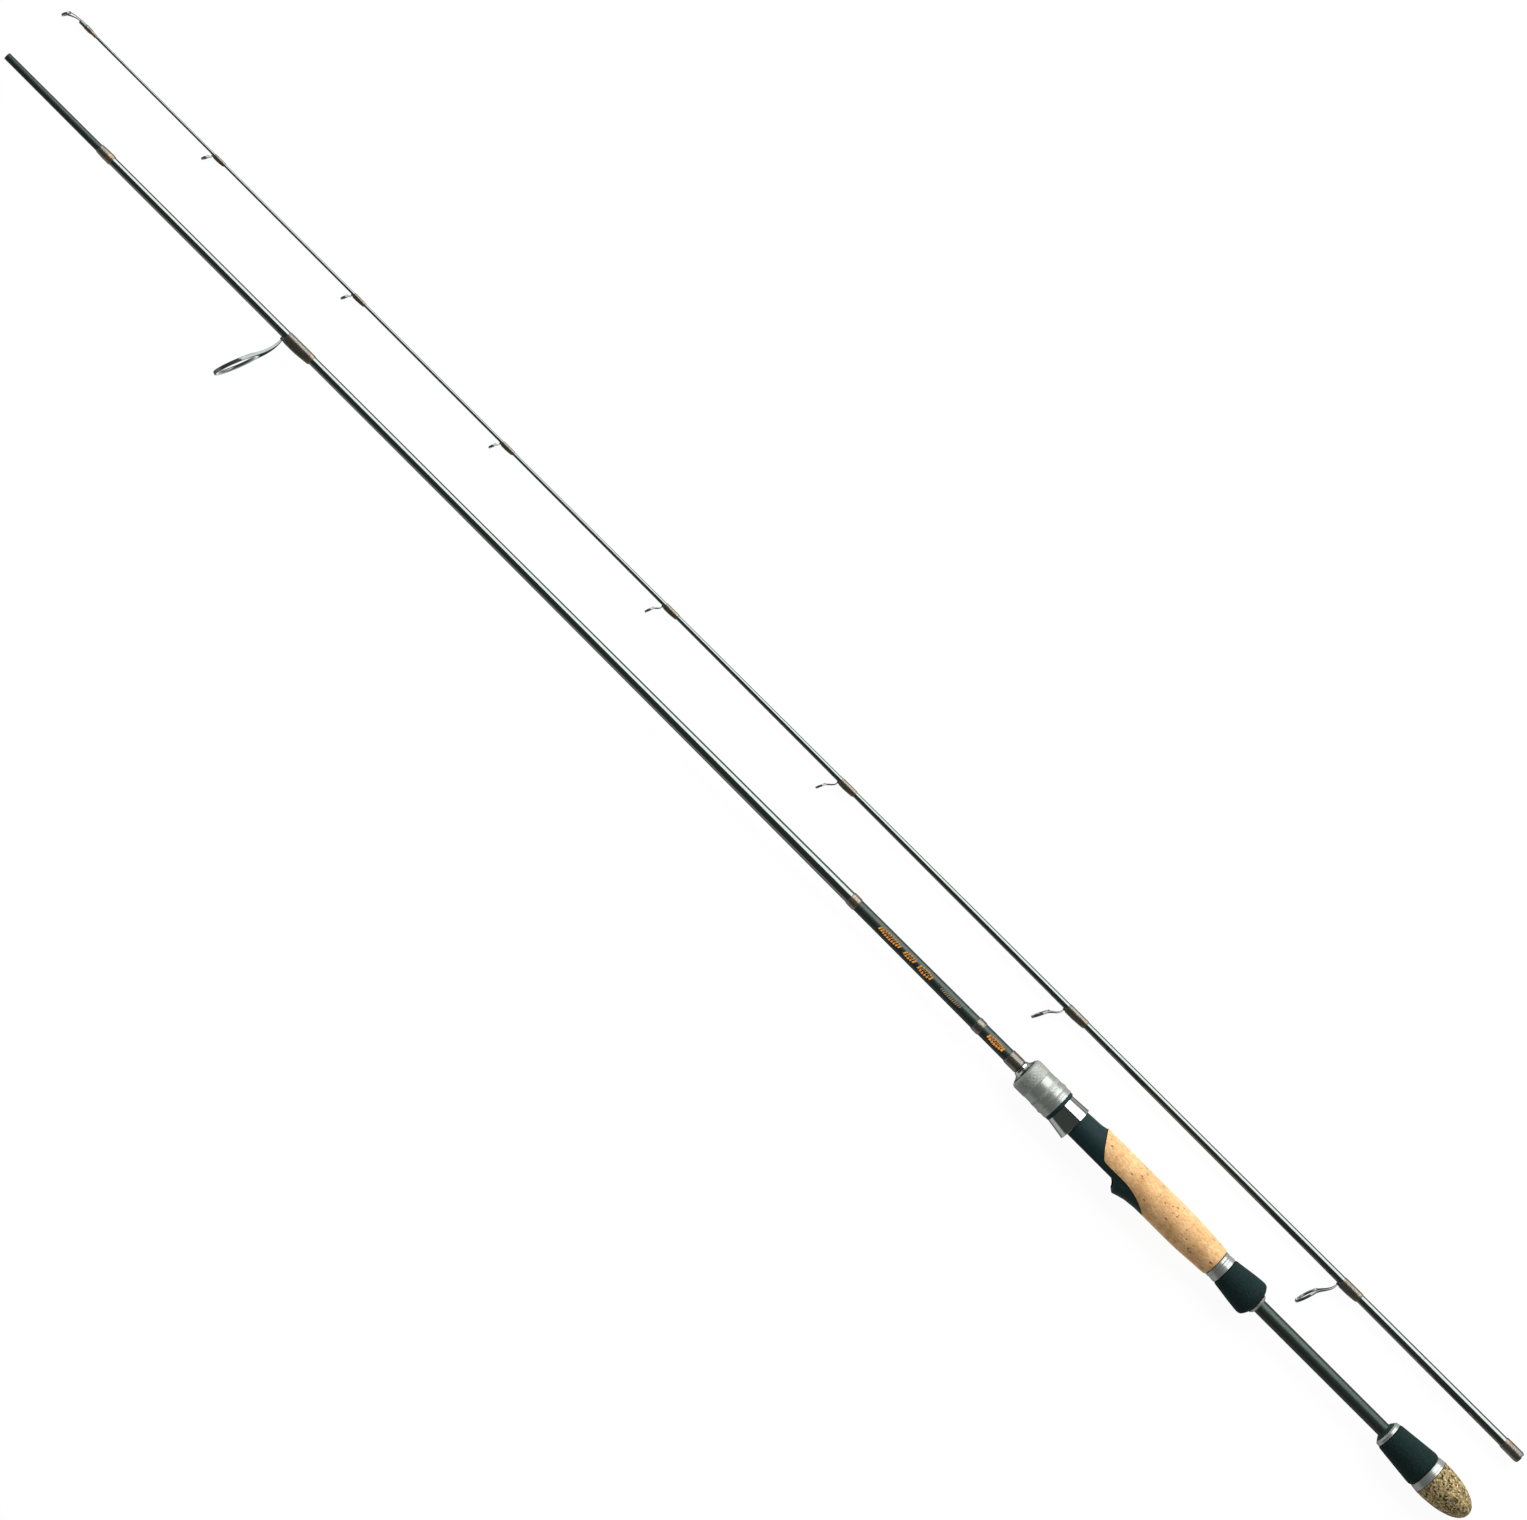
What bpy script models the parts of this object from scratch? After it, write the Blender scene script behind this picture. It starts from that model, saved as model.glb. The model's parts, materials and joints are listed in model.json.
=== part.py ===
"""A two-piece spinning rod, taken apart and lying on its side, with an empty reel seat.

Each section is modelled along its own +X, from its thin end to its thick end, with the guides
toward -Y. Its parent empty lays it on the floor, z = 0. Sizes are written in millimetres, and
new_object turns them into metres. An angle round a section is measured from the guide side.
A station is a distance along a section from its thin end.
"""

import math
from collections import namedtuple

import bmesh
import bpy
from mathutils import Vector
from mathutils.geometry import interpolate_bezier

MM = 0.001
TAU = 2 * math.pi

# Lie of the two sections on the floor
SECTION_SPACING = 43.8  # between the two axes
BUTT_AXIS_Y = -0.96  # centres the whole rod on the origin
TIP_SHIFT = 2.5  # the tip section lies this much nearer the knob's end than the butt section
BUTT_LENGTH = 1182.4
TIP_LENGTH = 1179.0

# The two tapered blanks: (station, outer radius)
BUTT_BLANK = (
    (0, 2.26),
    (76, 2.43),
    (80, 2.64),
    (365, 2.84),
    (550, 3.35),
    (690, 3.78),
    (820, 4.13),
    (1010, 4.35),
    (1172, 4.35),
)
MALE_END = 76  # the butt blank is thinner up to here, to fit the socket
TIP_BLANK = (
    (11.2, 0.8),
    (190, 0.92),
    (370, 1.08),
    (553, 1.6),
    (782, 2.15),
    (1011, 2.6),
    (1149, 3.05),
    (1179, 3.15),
)
BLANK_WALL = 0.62
THINNEST_BORE = 0.3
BLANK_SIDES = 16
SOCKET_DEPTH = 74.0
SOCKET_CLEARANCE = 0.12
SOCKET_STEP = 0.35  # the bore narrows by this much at the bottom of the socket
SLEEVE_FRONT = 1100.0  # where the tip blank's thickened end begins
SLEEVE_GAP = 0.3
FIT = 0.14  # gap left between pieces that are glued together

# Plain thread wraps: name, section, first and last station, thickness
TRIM_WRAPS = (
    ("spigot_wrap", "butt", 74.5, 85.4, 0.3),
    ("upper_trim_wrap", "butt", 681.9, 688.2, 0.28),
    ("lower_trim_wrap", "butt", 783.3, 789.0, 0.3),
    ("seat_wrap", "butt", 810.0, 819.4, 0.35),
    ("socket_wrap", "tip", 1165.5, 1178.6, 0.32),
)
WRAP_RAMP = 0.5  # length of the bevelled end of a wrap
WRAP_EDGE = 0.1  # thickness of a wrap at its very end

# Guides: the leg's station, how far ahead of it the ring is, the ring's height over the axis, the
# hoop's outer diameter, its lean in degrees, and how far the foot's wrap runs behind the leg
Guide = namedtuple("Guide", "section leg ahead height diameter lean wrap")
GUIDES = (
    Guide("butt", 226.0, 8.6, 32.0, 28.3, 21.4, 20.9),
    Guide("tip", 1034.3, 8.0, 20.3, 15.0, 17.7, 14.9),
    Guide("tip", 811.9, 7.7, 13.9, 11.3, 26.0, 15.6),
    Guide("tip", 628.0, 5.6, 10.4, 6.4, 24.0, 12.0),
    Guide("tip", 485.3, 4.0, 8.3, 6.0, 20.0, 10.9),
    Guide("tip", 353.2, 2.2, 5.4, 5.0, 20.0, 9.7),
    Guide("tip", 232.6, 2.2, 5.0, 4.9, 22.0, 9.7),
    Guide("tip", 119.2, 2.2, 4.8, 4.9, 27.0, 9.1),
)
ARM_MEETS_HOOP = 62  # degrees round the hoop from its lowest point
ARM_ALONG_HOOP = 26  # degrees that the arm runs on inside the hoop's band
FOOT_GAP = 0.1  # between the blank and a guide's foot
COARSE_HOOP_SIDES = 16

# Tip-top
TIP_TOP_HOOP = 5.7
TIP_TOP_AHEAD = 8.6  # ring centre ahead of the tube's closed end
TIP_TOP_HEIGHT = 2.7
TIP_TOP_LEAN = 28.0
TIP_TOP_TUBE = (10.6, 20.0)
TIP_TOP_TUBE_WALL = 0.3
TIP_TOP_STRIP = (0.5, 0.32)  # width and thickness of its three braces
TIP_TOP_BRACE_ROOT = 0.73  # how far from the axis a brace leaves the tube
TIP_TOP_WRAP = (14.6, 23.6)

# Reel seat: (station, radius), and the arch of the fixed hood as (station, height)
SEAT_END = 944.0
SEAT_BORE = 6.0
SEAT_TUBE = 6.9
SEAT_TUBE_FRONT = 872.0
SADDLE = 8.05  # height of the flat that the reel foot rests on
SEAT_PROFILE = (
    (823.3, 8.3),
    (824.3, 8.6),
    (862.0, 8.6),
    (863.0, 8.9),
    (876.0, 9.55),
    (880.5, 10.45),
    (900.0, 10.7),
    (931.8, 10.9),
)
HOOD_TOP = (
    (899.5, 8.05),
    (902.0, 9.7),
    (904.7, 12.1),
    (907.3, 14.1),
    (911.0, 12.9),
    (915.0, 11.8),
    (922.5, 11.0),
    (931.8, 10.9),
)
SADDLE_FADE = ((907.0, 8.05), (925.0, 10.95))
ARCH_CENTRE, ARCH_HALF_WIDTH = 5.0, 8.9
POCKET = ((896.0, 13.3), (907.0, 11.9), (919.0, 10.2))  # (station, height of its roof)
POCKET_HALF_WIDTH = 6.4
SEAM_GAP = 0.2  # half the gap between the seat and the cork
SEAM_CURVES = (
    ((879.0, 13.2), (881.4, 7.4), (886.0, 0.2), (890.2, -3.4)),
    ((890.2, -3.4), (891.4, -4.3), (893.0, -4.2), (895.0, -4.2)),
    ((905.0, -4.2), (915.0, -4.2), (922.5, -6.8), (931.6, -12.6)),
)

# Moving hood: front and rear values
HOOD = (852.2, 864.9)
HOOD_RADIUS = (9.5, 10.2)
HOOD_ARCH_TOP = (10.1, 12.1)
HOOD_ARCH_HALF_WIDTH = (7.6, 8.9)
HOOD_WALL = 0.42
CUSHION = (855.5, 864.5)
CUSHION_SPREAD = math.radians(33)
CUSHION_THICKNESS = 0.45
CUSHION_GAP = 0.15

# Lock nut: (station, radius)
NUT_FRONT, NUT_REAR = 823.2, 850.0
NUT_SHELL = (
    (NUT_FRONT, 8.85),
    (824.0, 10.1),
    (825.2, 10.66),
    (832.6, 10.66),
    (833.0, 10.4),
    (838.0, 10.4),
    (838.4, 10.66),
    (843.4, 10.66),
    (844.2, 11.0),
    (845.4, 11.0),
    (846.4, 10.66),
    (849.8, 10.66),
)
NUT_SHELL_BORE = ((849.8, 9.7), (826.0, 9.7), (826.0, 8.85))
NUT_INSERT = ((826.2, 9.5), (NUT_REAR, 9.5), (NUT_REAR, 10.3), (852.0, 10.3))
NUT_CLEARANCE_RADIUS = 8.8

# Grips and rings: outer outlines as (station, radius)
GRIP_BORE = 4.5
CORK_FRONT, CORK_REAR = 878.8, 978.0
CORK_PROFILE = (
    (CORK_FRONT, 10.95),
    (950.0, 10.9),
    (956.0, 10.75),
    (966.0, 10.1),
    (974.0, 9.6),
    (977.0, 9.35),
    (CORK_REAR, 9.0),
)
WINDING_CHECK = ((819.7, 4.9), (821.3, 5.3), (822.3, 6.6), (822.9, 8.3))
GRIP_RING = ((978.3, 8.75), (980.1, 8.85), (980.5, 8.55), (982.7, 8.85), (984.8, 8.85))
GRIP_FLARE = (
    (985.1, 9.0),
    (990.0, 9.6),
    (998.0, 10.75),
    (1005.0, 11.5),
    (1007.0, 11.5),
    (1008.6, 10.8),
    (1010.8, 7.3),
)
FLARE_END_RING = ((1011.1, 6.7), (1012.0, 6.3), (1013.1, 5.0))
REAR_GRIP_RING = ((1113.9, 5.0), (1116.4, 8.4), (1118.2, 8.7))
REAR_GRIP = ((1118.5, 9.0), (1131.0, 10.3), (1144.6, 11.7), (1146.3, 11.4), (1146.8, 10.8))
BUTT_RING = ((1147.1, 11.2), (1148.2, 11.45), (1151.8, 11.9))
KNOB_FRONT, KNOB_RADIUS, KNOB_BORE_END = 1152.1, 11.9, 1173.0
KNOB_ROUNDNESS = 2.2  # 2 would be an ellipse; more is squarer
ARBORS = (("front", 828.0, 842.0), ("middle", 866.0, 880.0), ("rear", 922.0, 936.0))

# Looks: base colour, roughness, metallic
LOOKS = {
    "carbon": ((0.012, 0.014, 0.015), 0.12, 0.0),
    "thread": ((0.075, 0.045, 0.03), 0.18, 0.0),
    "guide_metal": ((0.62, 0.63, 0.64), 0.12, 1.0),
    "ceramic": ((0.03, 0.032, 0.035), 0.1, 0.0),
    "seat_plastic": ((0.018, 0.022, 0.024), 0.55, 0.0),
    "hood_metal": ((0.78, 0.78, 0.76), 0.06, 1.0),
    "nut_metal": ((0.6, 0.6, 0.59), 0.35, 1.0),
    "ring_metal": ((0.72, 0.72, 0.71), 0.22, 1.0),
    "cork": ((0.72, 0.5, 0.29), 0.8, 0.0),
    "foam": ((0.016, 0.02, 0.021), 0.85, 0.0),
    "composite_cork": ((0.24, 0.17, 0.09), 0.8, 0.0),
}


# ---------------------------------------------------------------- helpers


def between(points, x):
    """The value at x of a line through (x, value) points."""
    if x <= points[0][0]:
        return points[0][1]
    for (x0, v0), (x1, v1) in zip(points, points[1:]):
        if x <= x1:
            return v0 + (v1 - v0) * (x - x0) / (x1 - x0)
    return points[-1][1]


def material(look):
    found = bpy.data.materials.get(look)
    if found:
        return found
    colour, roughness, metallic = LOOKS[look]
    made = bpy.data.materials.new(look)
    made.use_nodes = True
    shader = made.node_tree.nodes["Principled BSDF"]
    shader.inputs["Base Color"].default_value = (*colour, 1)
    shader.inputs["Roughness"].default_value = roughness
    shader.inputs["Metallic"].default_value = metallic
    made.diffuse_color = (*colour, 1)
    return made


def empty(name, parent=None, location=(0, 0, 0), rotation=(0, 0, 0)):
    made = bpy.data.objects.new(name, None)
    made.location = location
    made.rotation_euler = rotation
    made.parent = parent
    bpy.context.scene.collection.objects.link(made)
    return made


def new_object(name, bm, look, parent, station, sharp=35):
    """Turns a mesh in millimetres into an object in metres whose origin is on the section's axis."""
    bmesh.ops.translate(bm, vec=(-station, 0, 0), verts=bm.verts)
    bmesh.ops.scale(bm, vec=(MM, MM, MM), verts=bm.verts)
    bmesh.ops.recalc_face_normals(bm, faces=bm.faces)
    mesh = bpy.data.meshes.new(name)
    bm.to_mesh(mesh)
    bm.free()
    mesh.shade_smooth()
    mesh.set_sharp_from_angle(angle=math.radians(sharp))
    mesh.materials.append(material(look))
    made = bpy.data.objects.new(name, mesh)
    made.location = (station * MM - parent.get("station", 0.0), 0, 0)
    made.parent = parent
    bpy.context.scene.collection.objects.link(made)
    return made


def boolean(obj, operation, helper):
    """Adds a Boolean to obj; the helper itself stays out of the render."""
    helper.hide_render = True
    helper.display_type = "WIRE"
    cut = obj.modifiers.new(operation.lower(), "BOOLEAN")
    cut.operation = operation
    cut.object = helper


def turned(name, look, parent, outline, sides=20):
    """Spins a closed (station, radius) outline round the section's axis."""
    bm = bmesh.new()
    corners = [bm.verts.new((x, 0, r)) for x, r in outline]
    edges = [bm.edges.new(pair) for pair in zip(corners, corners[1:] + corners[:1])]
    bmesh.ops.spin(bm, geom=corners + edges, axis=(1, 0, 0), angle=TAU, steps=sides, use_merge=True)
    bmesh.ops.remove_doubles(bm, verts=bm.verts, dist=1e-5)
    return new_object(name, bm, look, parent, outline[0][0])


def sleeve(name, look, parent, outer, bore, sides=20):
    """A turned piece with an outer outline and a straight bore."""
    inside = [(outer[-1][0], bore), (outer[0][0], bore)]
    return turned(name, look, parent, [*outer, *inside], sides)


def rod_space(name, parent, first, last, radius, sides=20):
    """A plain cylinder on the axis, which a Boolean adds or cuts."""
    outline = [(first, 0), (first, radius), (last, radius), (last, 0)]
    return turned(name, "seat_plastic", parent, outline, sides)


def skin(name, look, parent, rings, hollow=False, sharp=35):
    """Bridges equal rings of points: ends capped, or last ring joined to first when hollow."""
    bm = bmesh.new()
    rows = [[bm.verts.new(point) for point in ring] for ring in rings]
    pairs = list(zip(rows, rows[1:]))
    if hollow:
        pairs.append((rows[-1], rows[0]))
    else:
        bm.faces.new(rows[0])
        bm.faces.new(rows[-1])
    for row, following in pairs:
        for i, corner in enumerate(row):
            after = (i + 1) % len(row)
            bm.faces.new((corner, row[after], following[after], following[i]))
    return new_object(name, bm, look, parent, rings[0][0][0], sharp)


def round_ring(x, radius_of, sides):
    """Points round the axis at station x, the first one on the guide side."""
    angles = [TAU * i / sides for i in range(sides)]
    return [(x, -radius_of(x, a) * math.cos(a), radius_of(x, a) * math.sin(a)) for a in angles]


def shell(name, look, parent, stations, outer, inner, sides):
    """A hollow skin whose outer and inner radii depend on the station and the angle."""
    rings = [round_ring(x, outer, sides) for x in stations]
    rings += [round_ring(x, inner, sides) for x in reversed(stations)]
    return skin(name, look, parent, rings, hollow=True)


def side_prism(name, parent, outline, half_width=14):
    """A prism whose (station, y) outline is seen from the side of the rod."""
    rings = [[(x, y, z) for x, y in outline] for z in (-half_width, half_width)]
    return skin(name, "carbon", parent, rings)


def arch_radius(angle, top, half_width):
    """Radius, from the axis, of an elliptical arch on the guide side, or 0 where it has none."""
    cos, sin = math.cos(angle), math.sin(angle)
    if cos <= 0.1:
        return 0.0
    rise = top - ARCH_CENTRE
    a = (cos / rise) ** 2 + (sin / half_width) ** 2
    b = -2 * ARCH_CENTRE * cos / rise**2
    c = (ARCH_CENTRE / rise) ** 2 - 1
    inside = b * b - 4 * a * c
    return (-b + math.sqrt(inside)) / (2 * a) if inside > 0 else 0.0


# ---------------------------------------------------------------- blanks and wraps


def blank_outer(section, x):
    return between(BUTT_BLANK if section == "butt" else TIP_BLANK, x)


def butt_blank(parent):
    bore = [(x, r - BLANK_WALL) for x, r in BUTT_BLANK if x != MALE_END]
    turned("butt_blank", "carbon", parent, [*BUTT_BLANK, *reversed(bore)], BLANK_SIDES)


def tip_blank(parent):
    """The tapered tube, up to the thickened end that holds the socket."""
    outline = [(x, r) for x, r in TIP_BLANK if x < SLEEVE_FRONT]
    outline.append((SLEEVE_FRONT, blank_outer("tip", SLEEVE_FRONT)))
    bore = [(x, max(THINNEST_BORE, r - BLANK_WALL)) for x, r in outline]
    turned("tip_blank", "carbon", parent, [*outline, *reversed(bore)], BLANK_SIDES)


def socket_sleeve(parent):
    """The thickened end of the tip blank, bored for the butt section's male end."""
    front = SLEEVE_FRONT + SLEEVE_GAP
    bottom = TIP_LENGTH - SOCKET_DEPTH
    outline = [(front, blank_outer("tip", front))] + [(x, r) for x, r in TIP_BLANK if x > front]
    deep, mouth = (between(BUTT_BLANK, d) + SOCKET_CLEARANCE for d in (0, SOCKET_DEPTH))
    narrow = deep - SOCKET_STEP
    bore = [(TIP_LENGTH, mouth), (bottom, deep), (bottom, narrow), (front, narrow)]
    turned("socket_sleeve", "carbon", parent, outline + bore, BLANK_SIDES)


def trim_wrap(name, parent, section, first, last, thickness):
    bore = max(blank_outer(section, first), blank_outer(section, last)) + FIT
    edge, outer = bore + WRAP_EDGE, bore + thickness
    outline = [(first, edge), (first + WRAP_RAMP, outer), (last - WRAP_RAMP, outer), (last, edge)]
    sleeve(name, "thread", parent, outline, bore, BLANK_SIDES)


# ---------------------------------------------------------------- guides


class Hoop:
    """Sizes and directions of a guide's hoop, with the ring centre in (station, y, z)."""

    def __init__(self, centre, diameter, lean):
        self.centre = Vector(centre)
        self.outer = diameter / 2
        self.band = 0.3 + 0.021 * diameter
        self.width = 1.0 + 0.045 * diameter
        self.ring_outer = self.outer - self.band - 0.1
        self.ring_inner = self.ring_outer - 0.35 - 0.05 * diameter
        self.up = Vector((-math.sin(math.radians(lean)), -math.cos(math.radians(lean)), 0))
        self.across = Vector((0, 0, 1))
        self.normal = self.up.cross(self.across)
        self.sides = 28 if diameter > 20 else 24 if diameter > 8 else COARSE_HOOP_SIDES

    def at(self, radius, angle, along=0.0):
        """A point round the hoop, the angle counted from its lowest point."""
        spoke = -math.cos(angle) * self.up + math.sin(angle) * self.across
        return self.centre + radius * spoke + along * self.normal

    def band_of(self, name, look, parent, section):
        """A closed band whose cross-section is a list of (radius, offset along the ring's axis)."""
        angles = [TAU * i / self.sides for i in range(self.sides)]
        rings = [[self.at(radius, angle, along) for radius, along in section] for angle in angles]
        return skin(name, look, parent, rings, hollow=True)


def hoop_section(hoop):
    """The metal band, with its outer edges broken on the larger guides."""
    inner, outer, half = hoop.outer - hoop.band, hoop.outer, hoop.width / 2
    if hoop.sides == COARSE_HOOP_SIDES:
        return [(inner, -half), (outer, -half), (outer, half), (inner, half)]
    edge = 0.3 * hoop.band
    front = [(inner, -half), (outer - edge, -half), (outer, edge - half)]
    return front + [(outer, half - edge), (outer - edge, half), (inner, half)]


def ring_section(hoop):
    """The ceramic ring, whose bore is rounded for the line."""
    inner, outer, half = hoop.ring_inner, hoop.ring_outer, hoop.width * 0.46
    shoulder = 0.45 * half
    if hoop.sides == COARSE_HOOP_SIDES:
        return [(outer, -half), (inner, -shoulder), (inner, shoulder), (outer, half)]
    middle = 0.4 * outer + 0.6 * inner
    front = [(outer, -half), (middle, -half), (inner, -shoulder)]
    return front + [(inner, shoulder), (middle, half), (outer, half)]


def strip(name, parent, path, widths, thickness):
    """A flat strip along a path, its flat faces turned toward the rod's two sides."""
    rings = []
    for i, point in enumerate(path):
        along = (path[min(i + 1, len(path) - 1)] - path[max(i - 1, 0)]).normalized()
        face = Vector((0, 0, 1))
        face = (face - face.dot(along) * along).normalized()
        edge = along.cross(face) * widths[i] / 2
        face = face * thickness / 2
        corners = (edge + face, face - edge, -edge - face, edge - face)
        rings.append([point + corner for corner in corners])
    return skin(name, "guide_metal", parent, rings)


def arm(name, parent, hoop, start, side, root_width):
    """One of the two arms that carry the hoop: a curve that runs into the hoop's band."""
    radius = hoop.outer - hoop.band / 2
    meets = math.radians(ARM_MEETS_HOOP)
    joint = hoop.at(radius, side * meets)
    tangent = (hoop.at(radius, side * (meets + 0.01)) - joint).normalized()
    reach = 0.38 * (joint - start).length
    rise = Vector((0.06, -1, side * 0.25)).normalized()
    path = interpolate_bezier(start, start + reach * rise, joint - reach * tangent, joint, 6)
    for part in (0.5, 1):
        path.append(hoop.at(radius, side * (meets + part * math.radians(ARM_ALONG_HOOP))))
    widest = 0.86 * hoop.width
    widths = [root_width + (widest - root_width) * min(1, i / 5) for i in range(len(path))]
    return strip(name, parent, path, widths, 0.75 * hoop.band)


def guide_foot(name, parent, first, last, blank, width, height):
    """The strip under the wrap: full height at the leg, thin at its end."""
    rings = []
    low = -(blank + FOOT_GAP)
    for x, rise in ((first, height), (first + 0.45 * (last - first), height), (last, 0.3 * height)):
        half, high = width / 2, low - rise
        rings.append([(x, low, -half), (x, low, half), (x, high, half), (x, high, -half)])
    return skin(name, "guide_metal", parent, rings)


def guide_wrap(name, parent, section, first, last, foot_top, foot_width):
    """Thread bound over the foot: a sleeve with a channel, and a swelling, on the guide side."""
    length = last - first
    swelling = (
        (first, 1.0),
        (first + 0.6, 1.0),
        (first + 0.5 * length, 1.0),
        (last - 0.12 * length, 0.45),
        (last, 0.0),
    )
    foot_angle = max(math.atan2(foot_width / 2, foot_top), TAU / BLANK_SIDES) + 0.02

    def inner(x, angle):
        angle = min(angle, TAU - angle)
        bore = blank_outer(section, x) + FIT
        if angle > foot_angle:
            return bore
        lift = (foot_top - blank_outer(section, x)) * between(swelling, x)
        return max(bore, (bore + FOOT_GAP + lift) / math.cos(angle))

    def outer(x, angle):
        thread = 0.16 if x in (first, last) else 0.36
        lift = (foot_top - blank_outer(section, x)) * between(swelling, x)
        shoulder = 0.45 * lift * max(0, math.cos(angle))
        return max(inner(x, angle) + thread, blank_outer(section, x) + FIT + thread + shoulder)

    stations = [x for x, _ in swelling]
    shell(name, "thread", parent, stations, outer, inner, BLANK_SIDES)


def guide(name, parent, row):
    """Hoop, two arms and foot as one frame, with its ceramic ring and the wrap over the foot."""
    hoop = Hoop((row.leg - row.ahead, -row.height, 0), row.diameter, row.lean)
    foot_width = 1.0 + 0.05 * row.diameter
    foot_height = 0.45 + 0.035 * row.diameter
    root_width = 0.5 + 0.025 * row.diameter
    wrap_end = row.leg + row.wrap
    blank = max(blank_outer(row.section, row.leg), blank_outer(row.section, wrap_end))
    foot_top = blank + FOOT_GAP + foot_height
    frame = hoop.band_of(f"{name}_frame", "guide_metal", parent, hoop_section(hoop))
    for side, word in ((1, "left"), (-1, "right")):
        start = Vector((row.leg, 0.5 * foot_height - foot_top, side * foot_width * 0.2))
        boolean(frame, "UNION", arm(f"{name}_{word}_arm", parent, hoop, start, side, root_width))
    foot_front, foot_end = row.leg - root_width, row.leg + 0.86 * row.wrap
    foot = guide_foot(f"{name}_foot", parent, foot_front, foot_end, blank, foot_width, foot_height)
    boolean(frame, "UNION", foot)
    hoop.band_of(f"{name}_ring", "ceramic", parent, ring_section(hoop))
    wrap_start = row.leg + root_width / 2 + 0.25
    guide_wrap(f"{name}_wrap", parent, row.section, wrap_start, wrap_end, foot_top, foot_width)


def tip_top(parent):
    """The last ring: a small tube over the end of the blank, with a hoop on three braces."""
    front, rear = TIP_TOP_TUBE
    bore = TIP_BLANK[0][1] + FIT
    outer = bore + TIP_TOP_TUBE_WALL
    closed_end = front + 0.5
    outside = [(front, 0.3), (front, outer - 0.2), (front + 0.3, outer), (rear, outer)]
    inside = [(rear, bore), (closed_end, bore), (closed_end, 0.3)]
    frame = turned("tip_top_frame", "guide_metal", parent, outside + inside, BLANK_SIDES)
    hoop = Hoop((front - TIP_TOP_AHEAD, -TIP_TOP_HEIGHT, 0), TIP_TOP_HOOP, TIP_TOP_LEAN)
    boolean(frame, "UNION", hoop.band_of("tip_top_hoop", "guide_metal", parent, hoop_section(hoop)))
    for word, angle, y, z in (("left", 1.75, 0, 1), ("right", -1.75, 0, -1), ("brace", 0, 1, 0)):
        start = Vector((front + 0.25, y * TIP_TOP_BRACE_ROOT, z * TIP_TOP_BRACE_ROOT))
        end = hoop.at(hoop.outer - hoop.band / 2, angle)
        bend = Vector((start.x - 3.5, start.y, (start.z + end.z) / 2))
        path = interpolate_bezier(start, bend, (bend + end) / 2, end, 5)
        width, thickness = TIP_TOP_STRIP
        brace = strip(f"tip_top_{word}", parent, path, [width] * len(path), thickness)
        boolean(frame, "UNION", brace)
    hoop.band_of("tip_top_ring", "ceramic", parent, ring_section(hoop))
    tip_top_wrap(parent, outer, rear)


def tip_top_wrap(parent, tube, tube_end):
    """Thread over the end of the tip-top's tube and down onto the blank."""
    first, last = TIP_TOP_WRAP
    blank = blank_outer("tip", last) + FIT
    over_tube = tube + FIT
    thread = 0.3
    outside = [(first, over_tube + WRAP_EDGE), (first + WRAP_RAMP, over_tube + thread)]
    outside += [(tube_end, over_tube + thread), (last - WRAP_RAMP, blank + thread)]
    inside = [(last, blank), (tube_end + 0.4, blank), (tube_end + 0.3, over_tube), (first, over_tube)]
    turned("tip_top_wrap", "thread", parent, outside + inside, BLANK_SIDES)


# ---------------------------------------------------------------- reel seat


def seat_radius(x, angle):
    """Round, but cut to a flat saddle on the guide side, with the fixed hood's arch behind it."""
    angle = min(angle, TAU - angle)
    base = between(SEAT_PROFILE, x)
    cos = math.cos(angle)
    flat = between(SADDLE_FADE, x) / cos if cos > 0.1 else base
    radius = min(base, flat)
    if x > HOOD_TOP[0][0]:
        radius = max(radius, arch_radius(angle, between(HOOD_TOP, x), ARCH_HALF_WIDTH))
    return radius


def seam(shift):
    """Side view of the line between the seat and the cork, moved along Y by shift."""
    points = []
    for curve in SEAM_CURVES:
        points += interpolate_bezier(*[Vector((x, y + shift, 0)) for x, y in curve], 6)
    return [(point.x, point.y) for point in points]


def seat_pocket(parent):
    """The space inside the fixed hood: an arch over the saddle that gets lower rearward."""
    floor = SADDLE - 0.05
    arc = [math.pi * i / 8 for i in range(9)]
    rings = []
    for x, roof in POCKET:
        rise = roof - floor
        rings.append([(x, -floor - rise * math.sin(a), POCKET_HALF_WIDTH * math.cos(a)) for a in arc])
    return skin("pocket_space", "carbon", parent, rings)


def reel_seat(parent):
    """The seat's shell with its fixed hood, a tube inside the cork, and the arbors that centre it."""
    stations = sorted({x for x, _ in SEAT_PROFILE + HOOD_TOP})
    rings = [round_ring(x, seat_radius, 32) for x in stations]
    body = skin("seat_body", "seat_plastic", parent, rings)
    line = seam(-SEAM_GAP)
    behind, far_side = 960, 14
    cork_space = line[1:] + [(behind, line[-1][1]), (behind, far_side), (line[0][0], far_side)]
    boolean(body, "DIFFERENCE", side_prism("cork_space", parent, cork_space))
    boolean(body, "UNION", rod_space("seat_tube", parent, SEAT_TUBE_FRONT, SEAT_END, SEAT_TUBE))
    boolean(body, "DIFFERENCE", rod_space("seat_bore", parent, 820, 950, SEAT_BORE))
    boolean(body, "DIFFERENCE", seat_pocket(parent))
    for word, first, last in ARBORS:
        outer = SEAT_BORE - FIT
        bore = blank_outer("butt", last) + FIT
        outline = [(first, outer), (last, outer)]
        sleeve(f"seat_arbor_{word}", "composite_cork", parent, outline, bore, BLANK_SIDES)


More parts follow.
